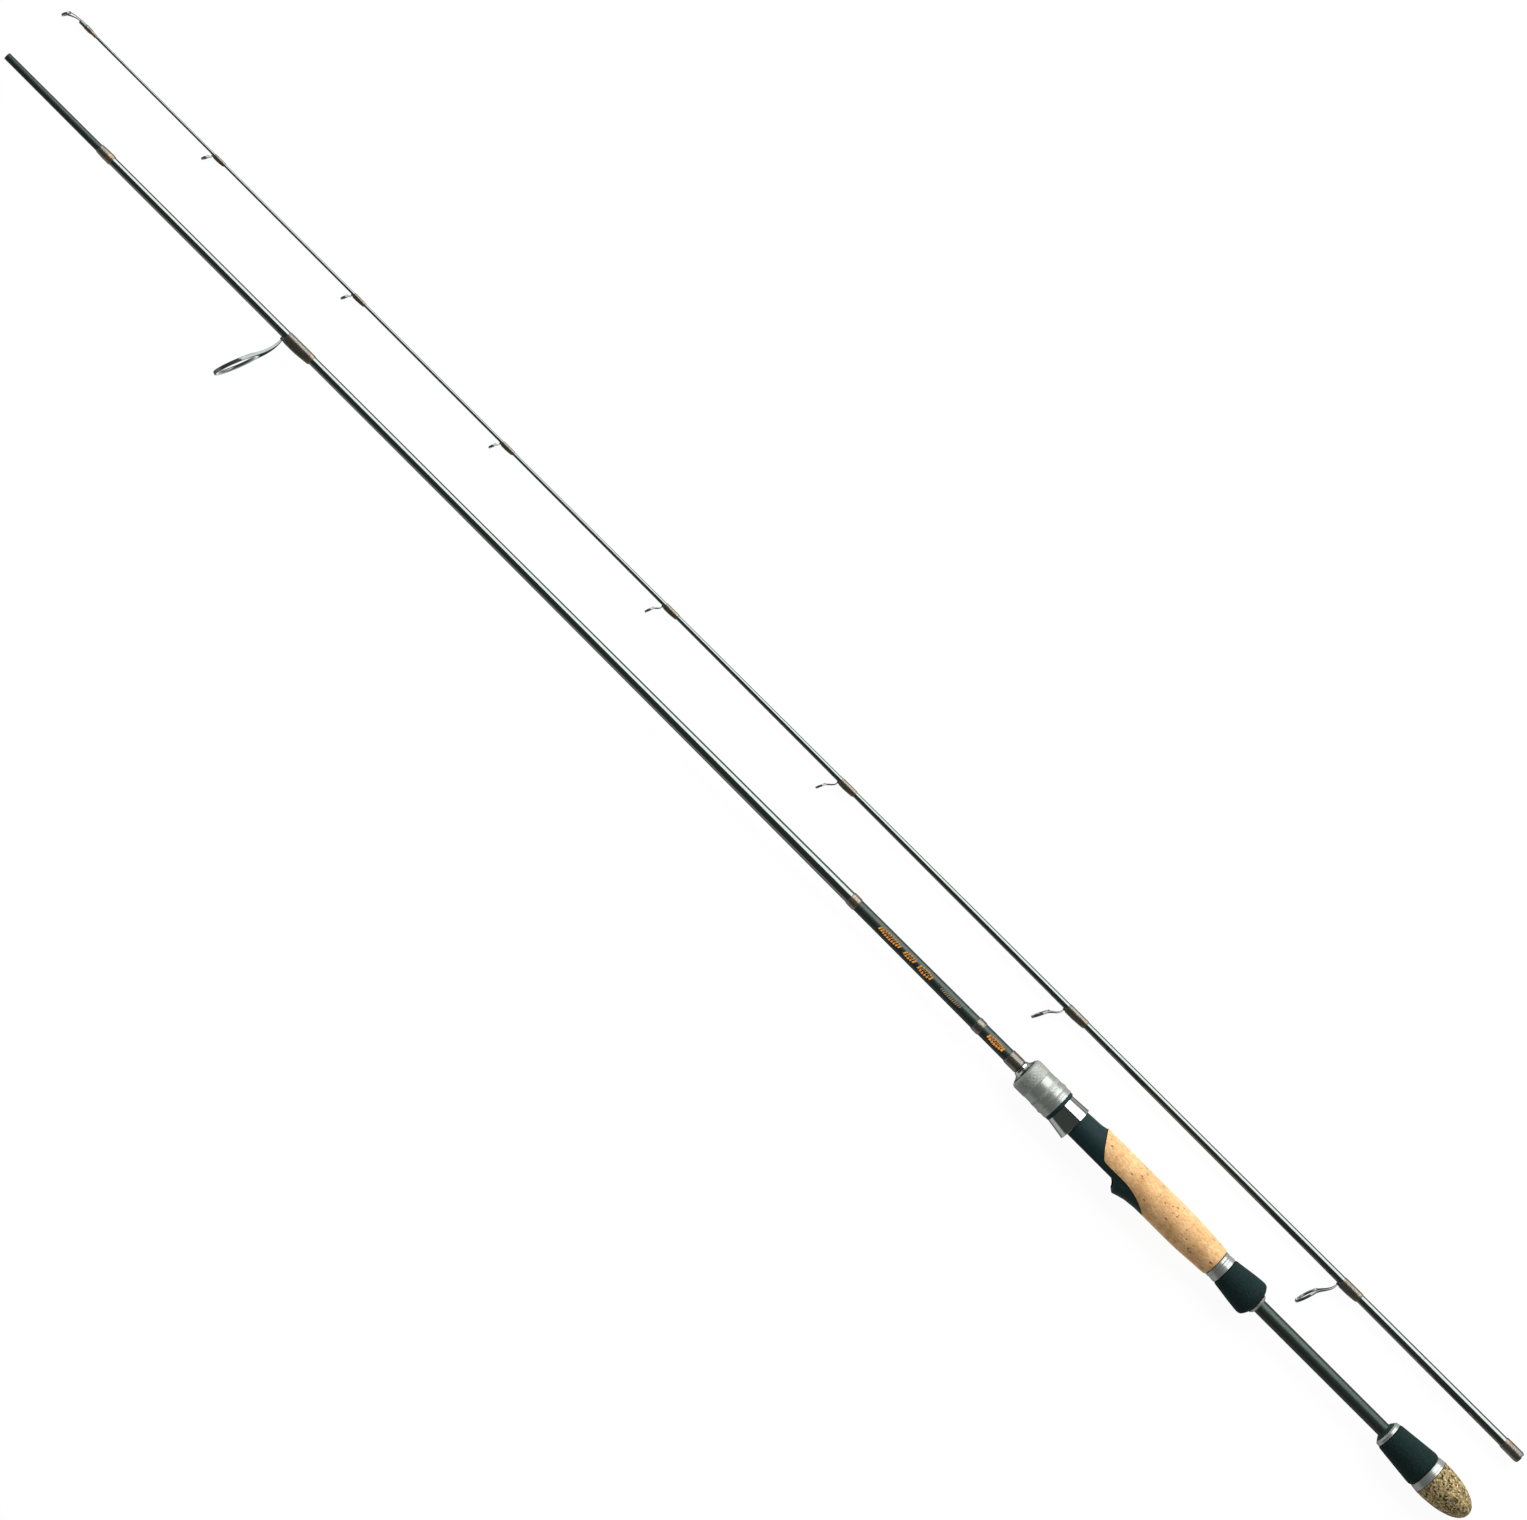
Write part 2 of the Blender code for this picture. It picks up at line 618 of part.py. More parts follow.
def cork_grip(parent):
    """Turned cork, cut away along the seam where the seat shows."""
    over_tube, step = SEAT_TUBE + 0.2, SEAT_END + 0.5
    inside = [(CORK_REAR, GRIP_BORE), (step, GRIP_BORE), (step, over_tube), (CORK_FRONT, over_tube)]
    cork = turned("cork_grip", "cork", parent, [*CORK_PROFILE, *inside], 28)
    line = seam(SEAM_GAP)
    ahead, guide_side = 870, -16
    seat_space = line + [(line[-1][0], guide_side), (ahead, guide_side), (ahead, line[0][1])]
    boolean(cork, "DIFFERENCE", side_prism("seat_space", parent, seat_space))


# ---------------------------------------------------------------- moving hood and lock nut


def along_hood(values, x):
    return between(((HOOD[0], values[0]), (HOOD[1], values[1])), x)


def hood_radius(x, angle, inward=0.0):
    """A cone with an arch on the guide side that opens over the reel foot."""
    angle = min(angle, TAU - angle)
    arch = arch_radius(angle, along_hood(HOOD_ARCH_TOP, x), along_hood(HOOD_ARCH_HALF_WIDTH, x))
    return max(along_hood(HOOD_RADIUS, x), arch) - inward


def moving_hood(parent):
    """The metal hood, and the soft pad under its arch."""

    def inner(x, angle):
        return hood_radius(x, angle, HOOD_WALL)

    stations = [HOOD[0], sum(HOOD) / 2, HOOD[1]]
    shell("hood_shell", "hood_metal", parent, stations, hood_radius, inner, 32)
    angles = [CUSHION_SPREAD * (i / 3 - 1) for i in range(7)]
    top = HOOD_WALL + CUSHION_GAP
    rings = []
    for x in CUSHION:
        arch = [(hood_radius(x, a % TAU, top), a) for a in angles]
        arch += [(hood_radius(x, a % TAU, top + CUSHION_THICKNESS), a) for a in reversed(angles)]
        rings.append([(x, -r * math.cos(a), r * math.sin(a)) for r, a in arch])
    skin("hood_cushion", "seat_plastic", parent, rings)


def lock_nut(parent):
    """The knurled metal shell, and the threaded insert whose flange pushes the hood."""
    turned("nut_shell", "nut_metal", parent, [*NUT_SHELL, *NUT_SHELL_BORE], 24)
    sleeve("nut_insert", "seat_plastic", parent, NUT_INSERT, NUT_CLEARANCE_RADIUS, 24)


# ---------------------------------------------------------------- grips


def fitted(name, look, parent, outline):
    """A turned piece whose bore fits the butt blank."""
    sleeve(name, look, parent, outline, blank_outer("butt", outline[-1][0]) + FIT)


def butt_knob(parent):
    """A rounded cap over the end of the blank."""
    steps = 7
    nose = []
    for i in range(steps):
        angle = math.pi / 2 * i / steps
        along = math.sin(angle) ** (2 / KNOB_ROUNDNESS)
        radius = KNOB_RADIUS * math.cos(angle) ** (2 / KNOB_ROUNDNESS)
        nose.append((KNOB_FRONT + (BUTT_LENGTH - KNOB_FRONT) * along, radius))
    nose.append((BUTT_LENGTH, 0.0))
    bore = [(KNOB_BORE_END, 0.0), (KNOB_BORE_END, GRIP_BORE), (KNOB_FRONT, GRIP_BORE)]
    turned("butt_knob", "composite_cork", parent, nose + bore, 20)


def grips(parent):
    cork_grip(parent)
    fitted("winding_check", "ring_metal", parent, WINDING_CHECK)
    fitted("grip_ring", "ring_metal", parent, GRIP_RING)
    fitted("grip_flare", "foam", parent, GRIP_FLARE)
    fitted("flare_end_ring", "ring_metal", parent, FLARE_END_RING)
    fitted("rear_grip_ring", "ring_metal", parent, REAR_GRIP_RING)
    fitted("rear_grip", "foam", parent, REAR_GRIP)
    fitted("butt_ring", "ring_metal", parent, BUTT_RING)
    butt_knob(parent)


# ---------------------------------------------------------------- the rod


def laid(name, first, last, start, axis_y):
    """An empty that lays a section down: at each of two stations it rests on a given radius."""
    (x0, r0), (x1, r1) = first, last
    pitch = math.asin((r0 - r1) / (x1 - x0))
    height = r0 + x0 * math.sin(pitch)
    return empty(name, None, (start * MM, axis_y * MM, height * MM), (0, pitch, 0))


def moving(name, parent, station):
    """An empty on the axis for a moving body; its pieces are placed relative to it."""
    made = empty(name, parent, (station * MM - parent.get("station", 0.0), 0, 0))
    made["station"] = station * MM
    return made


def main():
    for obj in list(bpy.data.objects):
        bpy.data.objects.remove(obj, do_unlink=True)

    on_guide = [(row.leg - row.ahead, row.diameter / 2) for row in GUIDES[:2]]
    on_tip_top = (TIP_TOP_TUBE[0] - TIP_TOP_AHEAD, TIP_TOP_HOOP / 2)
    on_knob = (KNOB_FRONT, KNOB_RADIUS)
    start = -BUTT_LENGTH / 2
    butt = laid("butt_section", on_guide[0], on_knob, start, BUTT_AXIS_Y)
    tip_axis_y = BUTT_AXIS_Y + SECTION_SPACING
    tip = laid("tip_section", on_tip_top, on_guide[1], start + TIP_SHIFT, tip_axis_y)
    sections = {"butt": butt, "tip": tip}

    butt_blank(butt)
    tip_blank(tip)
    socket_sleeve(tip)
    for name, section, first, last, thickness in TRIM_WRAPS:
        trim_wrap(name, sections[section], section, first, last, thickness)
    for number, row in enumerate(GUIDES, start=1):
        guide(f"guide_{number}", sections[row.section], row)
    tip_top(tip)
    reel_seat(butt)
    grips(butt)
    hood = moving("moving_hood", butt, HOOD[0])
    moving_hood(hood)
    lock_nut(moving("lock_nut", hood, NUT_REAR))


main()
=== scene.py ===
"""The looks of a two-piece spinning rod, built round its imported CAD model.

Each piece is modelled in its section's own space, like its CAD node: millimetres, +X from the
thin end to the thick end, guides toward -Y. A station is a distance along +X, and an angle round
the section is counted from the guide side. `finish_piece` lays the piece down with its section.
"""

import json
import math
from collections import namedtuple

import bmesh
import bpy
import numpy as np
from mathutils import Matrix, Vector
from mathutils.geometry import interpolate_bezier

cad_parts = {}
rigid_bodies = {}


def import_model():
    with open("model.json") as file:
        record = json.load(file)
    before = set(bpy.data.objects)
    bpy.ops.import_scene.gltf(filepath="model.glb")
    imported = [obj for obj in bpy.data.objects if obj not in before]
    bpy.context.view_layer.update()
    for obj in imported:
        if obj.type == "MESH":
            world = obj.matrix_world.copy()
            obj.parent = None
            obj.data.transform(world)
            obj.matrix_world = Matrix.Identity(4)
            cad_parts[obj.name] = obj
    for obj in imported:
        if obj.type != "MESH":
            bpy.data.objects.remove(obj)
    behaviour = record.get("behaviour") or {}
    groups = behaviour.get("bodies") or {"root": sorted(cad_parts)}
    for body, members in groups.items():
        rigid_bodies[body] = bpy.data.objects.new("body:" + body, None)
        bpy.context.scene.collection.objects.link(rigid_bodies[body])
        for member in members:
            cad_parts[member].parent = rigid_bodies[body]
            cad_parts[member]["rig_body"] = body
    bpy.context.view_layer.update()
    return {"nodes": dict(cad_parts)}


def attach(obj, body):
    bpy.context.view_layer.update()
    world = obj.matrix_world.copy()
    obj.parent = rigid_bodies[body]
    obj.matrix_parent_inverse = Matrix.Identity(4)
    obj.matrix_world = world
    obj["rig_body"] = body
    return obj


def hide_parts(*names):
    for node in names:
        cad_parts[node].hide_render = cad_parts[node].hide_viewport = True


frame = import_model()

MM = 0.001
TAU = 2 * math.pi
NODES = frame["nodes"]

TIP_BLANK_FRONT = 11.2  # station of the tip blank's thin end; the butt blank's is 0
AT_END = 0.1  # corners this close to an end lie on it
SIDES = 96

# Camera
VIEW_CENTRE = (0.0, 0.0197)
VIEW_TURN = math.radians(44.95)  # from the rod's length to the picture's right
VIEW_WIDTH = 0.8743
VIEW_DISTANCE = 2.8
AXIS_HEIGHT = 0.014

# Blank
BLANK_WALL, LEAST_BORE = 0.62, 0.3
SOCKET_RIM = 0.15
GLOSS_FROM, GLOSS_TO = 80.0, 685.0  # stations between which the butt blank is glossy

# Wraps and guides
WRAP_GAP = 0.02  # keeps a wrap's feathered ends clear of the blank
THREAD_LIFT = 0.3  # thread and epoxy over what they cover
EPOXY_RUNOUT = 1.3  # length of the slope at each end of a wrap
GOLD_BAND = (1.1, 2.2)  # how far before a guide wrap's rear end its gold band starts and ends
WRAP_STEP = 0.3
GOLD_ENDED = ["thread", "gold_thread"]


# -------- reading the frame


def node_points(name, matrix):
    """Corners of a CAD node in its section's space."""
    mesh = NODES[name].data
    flat = np.empty(len(mesh.vertices) * 3)
    mesh.vertices.foreach_get("co", flat)
    inverse = np.array(matrix.inverted())
    return (flat.reshape(-1, 3) @ inverse[:3, :3].T + inverse[:3, 3]) / MM


def end_centre(name, thick):
    """World place of the centre of a blank's thin or thick end, in millimetres."""
    points = np.unique(node_points(name, Matrix()).round(3), axis=0)
    edge = points[:, 0].max() if thick else points[:, 0].min()
    return Vector(points[abs(points[:, 0] - edge) < AT_END].mean(axis=0))


def section_matrix(thin_node, thick_node, thin_station):
    """Where a section lies: it takes section space in metres to the world."""
    thin = end_centre(thin_node, thick=False)
    x_axis = (end_centre(thick_node, thick=True) - thin).normalized()
    y_axis = Vector((0, 1, 0))
    z_axis = x_axis.cross(y_axis).normalized()
    matrix = Matrix((x_axis, z_axis.cross(x_axis), z_axis)).transposed().to_4x4()
    matrix.translation = (thin - thin_station * x_axis) * MM
    return matrix


BUTT = section_matrix("butt_blank", "butt_blank", 0.0)
TIP = section_matrix("tip_blank", "socket_sleeve", TIP_BLANK_FRONT)


def body_of(node):
    return NODES[node]["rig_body"]


def section_of(node):
    return TIP if body_of(node) == "tip_section" else BUTT


def section_points(node):
    return node_points(node, section_of(node))


def span_of(node):
    """The first and the last station of a node."""
    stations = section_points(node)[:, 0]
    return stations.min(), stations.max()


def outline_of(node):
    """The (station, radius) corners of a turned node's outer surface, from front to rear."""
    points = section_points(node)
    largest = {}
    for face in NODES[node].data.polygons:
        corners = points[list(face.vertices)]
        normal = np.cross(corners[1] - corners[0], corners[2] - corners[0])
        middle = corners.mean(axis=0)
        if normal[1:] @ middle[1:] < 0.05 * np.linalg.norm(normal) * np.linalg.norm(middle[1:]):
            continue
        for x, y, z in corners:
            station = round(x, 2)
            largest[station] = max(largest.get(station, 0.0), math.hypot(y, z))
    return sorted(largest.items())


def bore_of(node):
    points = section_points(node)
    return np.hypot(points[:, 1], points[:, 2]).min()


def profile_of(node):
    """A turned node's outline, its bore, and its first and last station."""
    outer = outline_of(node)
    return outer, bore_of(node), outer[0][0], outer[-1][0]


def between(points, x):
    """The value at x of a line through (x, value) points."""
    stations, values = zip(*points)
    return float(np.interp(x, stations, values))


BLANKS = {
    "butt_section": outline_of("butt_blank"),
    "tip_section": outline_of("tip_blank") + outline_of("socket_sleeve"),
}


def blank_radius(node, x):
    """Outer radius of the blank that the node is on."""
    return between(BLANKS[body_of(node)], x)


# -------- meshes


def in_scene(name, data):
    made = bpy.data.objects.new(name, data)
    bpy.context.scene.collection.objects.link(made)
    return made


def new_object(name, points, faces):
    """A mesh in section space, in metres, with doubled points merged and its faces turned out."""
    mesh = bpy.data.meshes.new(name)
    mesh.from_pydata((np.asarray(points, float).reshape(-1, 3) * MM).tolist(), [], faces)
    bm = bmesh.new()
    bm.from_mesh(mesh)
    bmesh.ops.remove_doubles(bm, verts=bm.verts, dist=1e-7)
    bmesh.ops.recalc_face_normals(bm, faces=bm.faces)
    bm.to_mesh(mesh)
    bm.free()
    return in_scene(name, mesh)


def skin(name, rings, hollow=False):
    """Bridges equal rings of points: ends capped, or last ring joined to first when hollow."""
    rings = np.asarray(rings, float)
    rows, columns = rings.shape[:2]
    row = np.arange(rows if hollow else rows - 1)[:, None]
    column = np.arange(columns)[None, :]
    beside, below = (column + 1) % columns, (row + 1) % rows
    corners = (row * columns + column, row * columns + beside)
    corners += (below * columns + beside, below * columns + column)
    faces = np.stack(corners, axis=-1).reshape(-1, 4).tolist()
    if not hollow:
        faces.append(list(range(columns)))
        faces.append(list(range((rows - 1) * columns, rows * columns)))
    return new_object(name, rings, faces)


def round_ring(x, radii, angles):
    """A closed line round the axis at x, with one radius or one for each angle."""
    return np.stack([np.full(len(angles), x), -radii * np.cos(angles), radii * np.sin(angles)], -1)


def turn_angles(sides):
    return np.arange(sides) * TAU / sides


def turned(name, outline, sides=SIDES):
    """Spins a closed (station, radius) outline round the section's axis."""
    angles = turn_angles(sides)
    rings = [round_ring(x, r, angles) for x, r in outline]
    return skin(name, rings, hollow=True)


def rounded(outline, fillet, steps=4):
    """The closed outline with each corner replaced by a small curve."""
    corners = [Vector(corner) for corner in outline]
    result = []
    for before, corner, after in zip(corners[-1:] + corners[:-1], corners, corners[1:] + corners[:1]):
        ends = []
        for other in (before, after):
            reach = float(min(fillet, 0.45 * (other - corner).length))
            ends.append(corner + reach * (other - corner).normalized())
        for i in range(steps + 1):
            t = i / steps
            result.append(ends[0].lerp(corner, t).lerp(corner.lerp(ends[1], t), t))
    return [tuple(point) for point in result]


def surface(name, stations, outer, inner, sides=SIDES):
    """A hollow piece whose outer and inner radii are functions of the station and the angles."""
    angles = turn_angles(sides)
    rings = [round_ring(x, outer(x, angles), angles) for x in stations]
    rings += [round_ring(x, inner(x, angles), angles) for x in reversed(stations)]
    return skin(name, rings, hollow=True)


def combined(base, operation, tools):
    """base with the tools cut from it or joined to it; the tools are used up."""
    for tool in tools:
        modifier = base.modifiers.new(tool.name, "BOOLEAN")
        modifier.operation = operation
        modifier.solver = "EXACT"
        modifier.object = tool
    graph = bpy.context.evaluated_depsgraph_get()
    mesh = bpy.data.meshes.new_from_object(base.evaluated_get(graph))
    base.modifiers.clear()
    base.data = mesh
    for tool in tools:
        bpy.data.objects.remove(tool)
    return base


def finish_piece(piece, nodes, looks, sharp=40):
    """Lays a piece down in place of its CAD nodes, with named looks, moving with their body."""
    piece.matrix_world = section_of(nodes[0])
    piece.data.materials.clear()
    for look in looks:
        piece.data.materials.append(LOOKS[look])
    piece.data.shade_smooth()
    piece.data.set_sharp_from_angle(angle=math.radians(sharp))
    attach(piece, body_of(nodes[0]))
    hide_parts(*nodes)


# -------- node materials


def add_node(look, kind, inputs=None, **settings):
    """Adds a shader node; an input that is a socket is linked, and any other is its value."""
    tree = look.node_tree
    made = tree.nodes.new("ShaderNode" + kind)
    for key, value in settings.items():
        setattr(made, key, value)
    for key, value in (inputs or {}).items():
        if isinstance(value, bpy.types.NodeSocket):
            tree.links.new(value, made.inputs[key])
        else:
            made.inputs[key].default_value = value
    return made


def shader_of(look):
    return look.node_tree.nodes["Principled BSDF"]


LOOKS = {}


def new_look(name, colour, roughness, **sockets):
    """Adds a Principled material to LOOKS; its other sockets are named with _ for a space."""
    look = bpy.data.materials.new(name)
    look.use_nodes = True
    shader = shader_of(look)
    shader.inputs["Base Color"].default_value = (*colour, 1)
    shader.inputs["Roughness"].default_value = roughness
    for socket, value in sockets.items():
        shader.inputs[socket.replace("_", " ")].default_value = value
    LOOKS[name] = look
    return look


def edge_tint(look, value):
    """Keeps a metal from turning white where it is seen at a grazing angle."""
    shader_of(look).inputs["Specular Tint"].default_value = (value, value, value, 1)


def link_to_shader(look, socket, output):
    look.node_tree.links.new(output, shader_of(look).inputs[socket])


def place(look, stretch=(1, 1, 1)):
    """Section space in millimetres, stretched."""
    here = add_node(look, "TexCoord").outputs["Object"]
    scale = [factor / MM for factor in stretch]
    return add_node(look, "Mapping", {"Vector": here, "Scale": scale}).outputs["Vector"]


def noise(look, scale, stretch=(1, 1, 1), detail=3.0, roughness=0.55):
    """A value from 0 to 1 that varies `scale` times a millimetre."""
    inputs = {"Vector": place(look, stretch), "Scale": scale, "Detail": detail}
    inputs["Roughness"] = roughness
    return add_node(look, "TexNoise", inputs).outputs["Fac"]


def cells(look, scale, output, stretch=(1, 1, 1), **settings):
    inputs = {"Vector": place(look, stretch), "Scale": scale}
    return add_node(look, "TexVoronoi", inputs, **settings).outputs[output]


def maths(look, operation, first, second=0.0):
    return add_node(look, "Math", {0: first, 1: second}, operation=operation).outputs[0]


def ramp(look, value, stops):
    """A colour that follows value through (position, colour) stops."""
    made = add_node(look, "ValToRGB", {"Fac": value})
    elements = made.color_ramp.elements
    for position, colour in stops[2:]:
        elements.new(position)
    for element, (position, colour) in zip(elements, stops):
        element.position = position
        element.color = (*colour, 1)
    return made.outputs["Color"]


def mask(look, value, low, high):
    """0 below low and 1 above high, smoothly between."""
    inputs = {"Value": value, "From Min": low, "From Max": high}
    return add_node(look, "MapRange", inputs, interpolation_type="SMOOTHSTEP").outputs["Result"]


def near_zero(look, value, low, high):
    """1 below low and 0 above high."""
    return maths(look, "SUBTRACT", 1.0, mask(look, value, low, high))


def mixed(look, factor, first, second, blend="MIX"):
    """The second colour laid over the first by factor; a colour is a socket or three numbers."""
    under, over = [c if isinstance(c, bpy.types.NodeSocket) else (*c, 1) for c in (first, second)]
    inputs = {"Factor": factor, 6: under, 7: over}  # the node's colour sockets are 6 and 7
    return add_node(look, "Mix", inputs, data_type="RGBA", blend_type=blend).outputs[2]


def stained(look, colour, where, strength, stain):
    """The colour with a stain over it where the mask is 1."""
    return mixed(look, maths(look, "MULTIPLY", where, strength), colour, stain)


def varied(look, colour, amount, value):
    """Base colour that goes from darker to lighter by amount as value goes from 0 to 1."""
    dark = [channel * (1 - amount) for channel in colour]
    light = [channel * (1 + amount) for channel in colour]
    link_to_shader(look, "Base Color", ramp(look, value, [(0.3, dark), (0.7, light)]))


def rough_by(look, low, high, value):
    inputs = {"Value": value, "From Min": 0.3, "From Max": 0.7, "To Min": low, "To Max": high}
    link_to_shader(look, "Roughness", add_node(look, "MapRange", inputs).outputs["Result"])


def bumps(look, *layers):
    """Bump from (height, depth in millimetres) layers, one on the other."""
    normal = None
    for height, depth in layers:
        inputs = {"Height": height, "Distance": depth * MM, "Strength": 1.0}
        if normal:
            inputs["Normal"] = normal
        normal = add_node(look, "Bump", inputs).outputs["Normal"]
    link_to_shader(look, "Normal", normal)


def lines_round(look, pitch, distortion=0.0):
    """Fine lines round the section, one each pitch millimetres."""
    inputs = {"Vector": place(look), "Scale": TAU / 20 / pitch, "Distortion": distortion}
    made = add_node(look, "TexWave", inputs, wave_type="BANDS", bands_direction="X")
    return made.outputs["Fac"]


def gloss_carbon():
    """Graphite under a thick clear coat."""
    colour = (0.125, 0.142, 0.134)
    coat = {"Coat_Weight": 0.12, "Coat_Roughness": 0.04}
    look = new_look("gloss_carbon", colour, 0.09, Metallic=0.97, **coat)
    edge_tint(look, 0.05)
    varied(look, colour, 0.08, noise(look, 2.2, (0.15, 1, 1)))
    bumps(look, (lines_round(look, 3.1, 0.4), 0.006), (noise(look, 0.12), 0.05))


def matte_carbon():
    colour = (0.035, 0.046, 0.041)
    look = new_look("matte_carbon", colour, 0.36, Metallic=0.7, Specular_IOR_Level=0.4)
    edge_tint(look, 0.1)
    varied(look, colour, 0.15, noise(look, 1.4, (0.3, 1, 1)))
    rough_by(look, 0.32, 0.42, noise(look, 3.0))
    bumps(look, (noise(look, 6.0), 0.02), (lines_round(look, 1.4, 0.3), 0.01))


def thread(name, colour, metallic):
    """Nylon thread under epoxy."""
    epoxy = {"Coat_Weight": 0.35, "Coat_Roughness": 0.07, "Coat_IOR": 1.5}
    look = new_look(name, colour, 0.28, Metallic=metallic, **epoxy)
    edge_tint(look, 0.25)
    strands = lines_round(look, 0.26, 0.15)
    varied(look, colour, 0.45, maths(look, "MULTIPLY", strands, noise(look, 1.1, (1, 0.4, 0.4))))
    bumps(look, (strands, 0.035), (noise(look, 0.5), 0.06))


def polished(name, colour, roughness, metallic, pitch):
    """Turned or bent metal with fine tool marks."""
    look = new_look(name, colour, roughness, Metallic=metallic)
    edge_tint(look, 0.2)
    marks = noise(look, 1.1, (1.0, 0.25, 0.25))
    varied(look, colour, 0.04, marks)
    rough_by(look, roughness * 0.92, roughness * 1.1, marks)
    bumps(look, (lines_round(look, pitch, 0.6), 0.0015), (noise(look, 5.0), 0.0006))


def knurled_metal():
    colour = (0.22, 0.235, 0.215)
    look = new_look("knurled_metal", colour, 0.48, Metallic=0.35)
    edge_tint(look, 0.2)
    varied(look, colour, 0.06, noise(look, 1.5))
    rough_by(look, 0.42, 0.5, noise(look, 3.0))
    bumps(look, (noise(look, 5.0), 0.004))


def ceramic():
    colour = (0.03, 0.033, 0.036)
    look = new_look("ceramic", colour, 0.09, Coat_Weight=1.0, Coat_Roughness=0.02)
    varied(look, colour, 0.2, noise(look, 2.0))
    bumps(look, (noise(look, 4.0), 0.003))


def soft_plastic():
    """The reel seat's rubbery paint."""
    colour = (0.008, 0.019, 0.0205)
    look = new_look("soft_plastic", colour, 0.6, Specular_IOR_Level=0.07)
    varied(look, colour, 0.12, noise(look, 0.5))
    rough_by(look, 0.55, 0.7, noise(look, 2.0))
    bumps(look, (noise(look, 5.0), 0.03))


def cork():
    """Glued cork rings: grain along the grip, dark pits, and a faint joint each half inch."""
    ring = 12.7
    look = new_look("cork", (0.7, 0.48, 0.27), 0.82, Specular_IOR_Level=0.2)
    broad = [(0.3, (0.51, 0.295, 0.128)), (0.7, (0.635, 0.412, 0.206)), (0.52, (0.58, 0.356, 0.168))]
    broad = ramp(look, noise(look, 0.11, (0.8, 1, 1), 4.0), broad)
    grain = [(0.3, (0.62, 0.54, 0.45)), (0.6, (1, 1, 1))]
    grain = ramp(look, noise(look, 0.75, (0.6, 1, 1), 6.0, 0.72), grain)
    colour = mixed(look, 1.0, broad, grain, "MULTIPLY")
    streaks = mask(look, noise(look, 0.9, (0.16, 1, 1), 3.0), 0.6, 0.7)
    colour = stained(look, colour, streaks, 0.62, (0.4, 0.22, 0.1))
    pits = cells(look, 0.36, "Distance", (0.7, 1, 1), feature="F1")
    sparse = mask(look, noise(look, 0.2), 0.46, 0.58)
    pit = maths(look, "MULTIPLY", near_zero(look, pits, 0.13, 0.3), sparse)
    colour = stained(look, colour, pit, 0.85, (0.16, 0.085, 0.04))
    along = add_node(look, "SeparateXYZ", {"Vector": place(look)}).outputs["X"]
    turns = maths(look, "FRACT", maths(look, "DIVIDE", along, ring))
    joint = near_zero(look, maths(look, "PINGPONG", turns, 0.5), 0.008, 0.03)
    colour = stained(look, colour, joint, 0.3, (0.34, 0.2, 0.1))
    link_to_shader(look, "Base Color", colour)
    bumps(look, (noise(look, 2.5, (0.6, 1, 1), 5.0, 0.7), 0.16), (pit, -0.3), (joint, -0.06))


def foam():
    """Closed-cell foam with fine open pores."""
    colour = (0.0048, 0.013, 0.0124)
    look = new_look("foam", colour, 0.88, Specular_IOR_Level=0.09)
    pores = cells(look, 2.4, "Distance", feature="F1")
    varied(look, colour, 0.5, maths(look, "MULTIPLY", pores, 1.1))
    bumps(look, (pores, 0.09), (noise(look, 0.6), 0.2))


def composite_cork():
    """Ground cork in a dark binder: crumbs of about a millimetre."""
    look = new_look("composite_cork", (0.24, 0.17, 0.09), 0.8, Specular_IOR_Level=0.2)
    crumb = cells(look, 1.0, "Color", (0.8, 1, 1), feature="F1")
    pick = add_node(look, "SeparateColor", {"Color": crumb}).outputs["Red"]
    shades = [(0.08, (0.03, 0.024, 0.012)), (0.95, (0.78, 0.58, 0.27))]
    shades += [(0.32, (0.062, 0.049, 0.022)), (0.52, (0.175, 0.13, 0.054))]
    colour = ramp(look, pick, [*shades, (0.74, (0.38, 0.275, 0.115))])
    fine = ramp(look, noise(look, 1.7), [(0.35, (0.35, 0.37, 0.36)), (0.65, (0.94, 0.92, 0.88))])
    colour = mixed(look, 1.0, colour, fine, "MULTIPLY")
    edge = cells(look, 1.0, "Distance", (0.8, 1, 1), feature="DISTANCE_TO_EDGE")
    binder = near_zero(look, edge, 0.02, 0.12)
    colour = stained(look, colour, binder, 0.6, (0.04, 0.03, 0.018))
    link_to_shader(look, "Base Color", colour)
    bumps(look, (edge, 0.22), (noise(look, 2.5), 0.1))


def paint(name, colour, metallic):
    look = new_look(name, colour, 0.3, Metallic=metallic, Coat_Weight=0.3)
    varied(look, colour, 0.25, noise(look, 1.6))
    bumps(look, (noise(look, 5.0), 0.01))


def all_looks():
    gloss_carbon()
    matte_carbon()
    thread("thread", (0.17, 0.153, 0.124), 0.8)
    thread("dark_thread", (0.16, 0.143, 0.118), 0.8)
    thread("gold_thread", (0.27, 0.185, 0.11), 0.85)
    polished("guide_metal", (0.11, 0.123, 0.118), 0.14, 0.75, 0.5)
    ceramic()
    soft_plastic()
    polished("mirror_metal", (0.34, 0.36, 0.34), 0.045, 1.0, 1.2)
    polished("nut_metal", (0.23, 0.245, 0.225), 0.33, 0.55, 0.3)
    knurled_metal()
    polished("ring_metal", (0.25, 0.265, 0.25), 0.29, 0.6, 0.35)
    cork()
    foam()
    composite_cork()
    paint("orange_paint", (0.78, 0.3, 0.045), 0.3)
    paint("brown_paint", (0.3, 0.21, 0.12), 0.3)


# -------- blanks


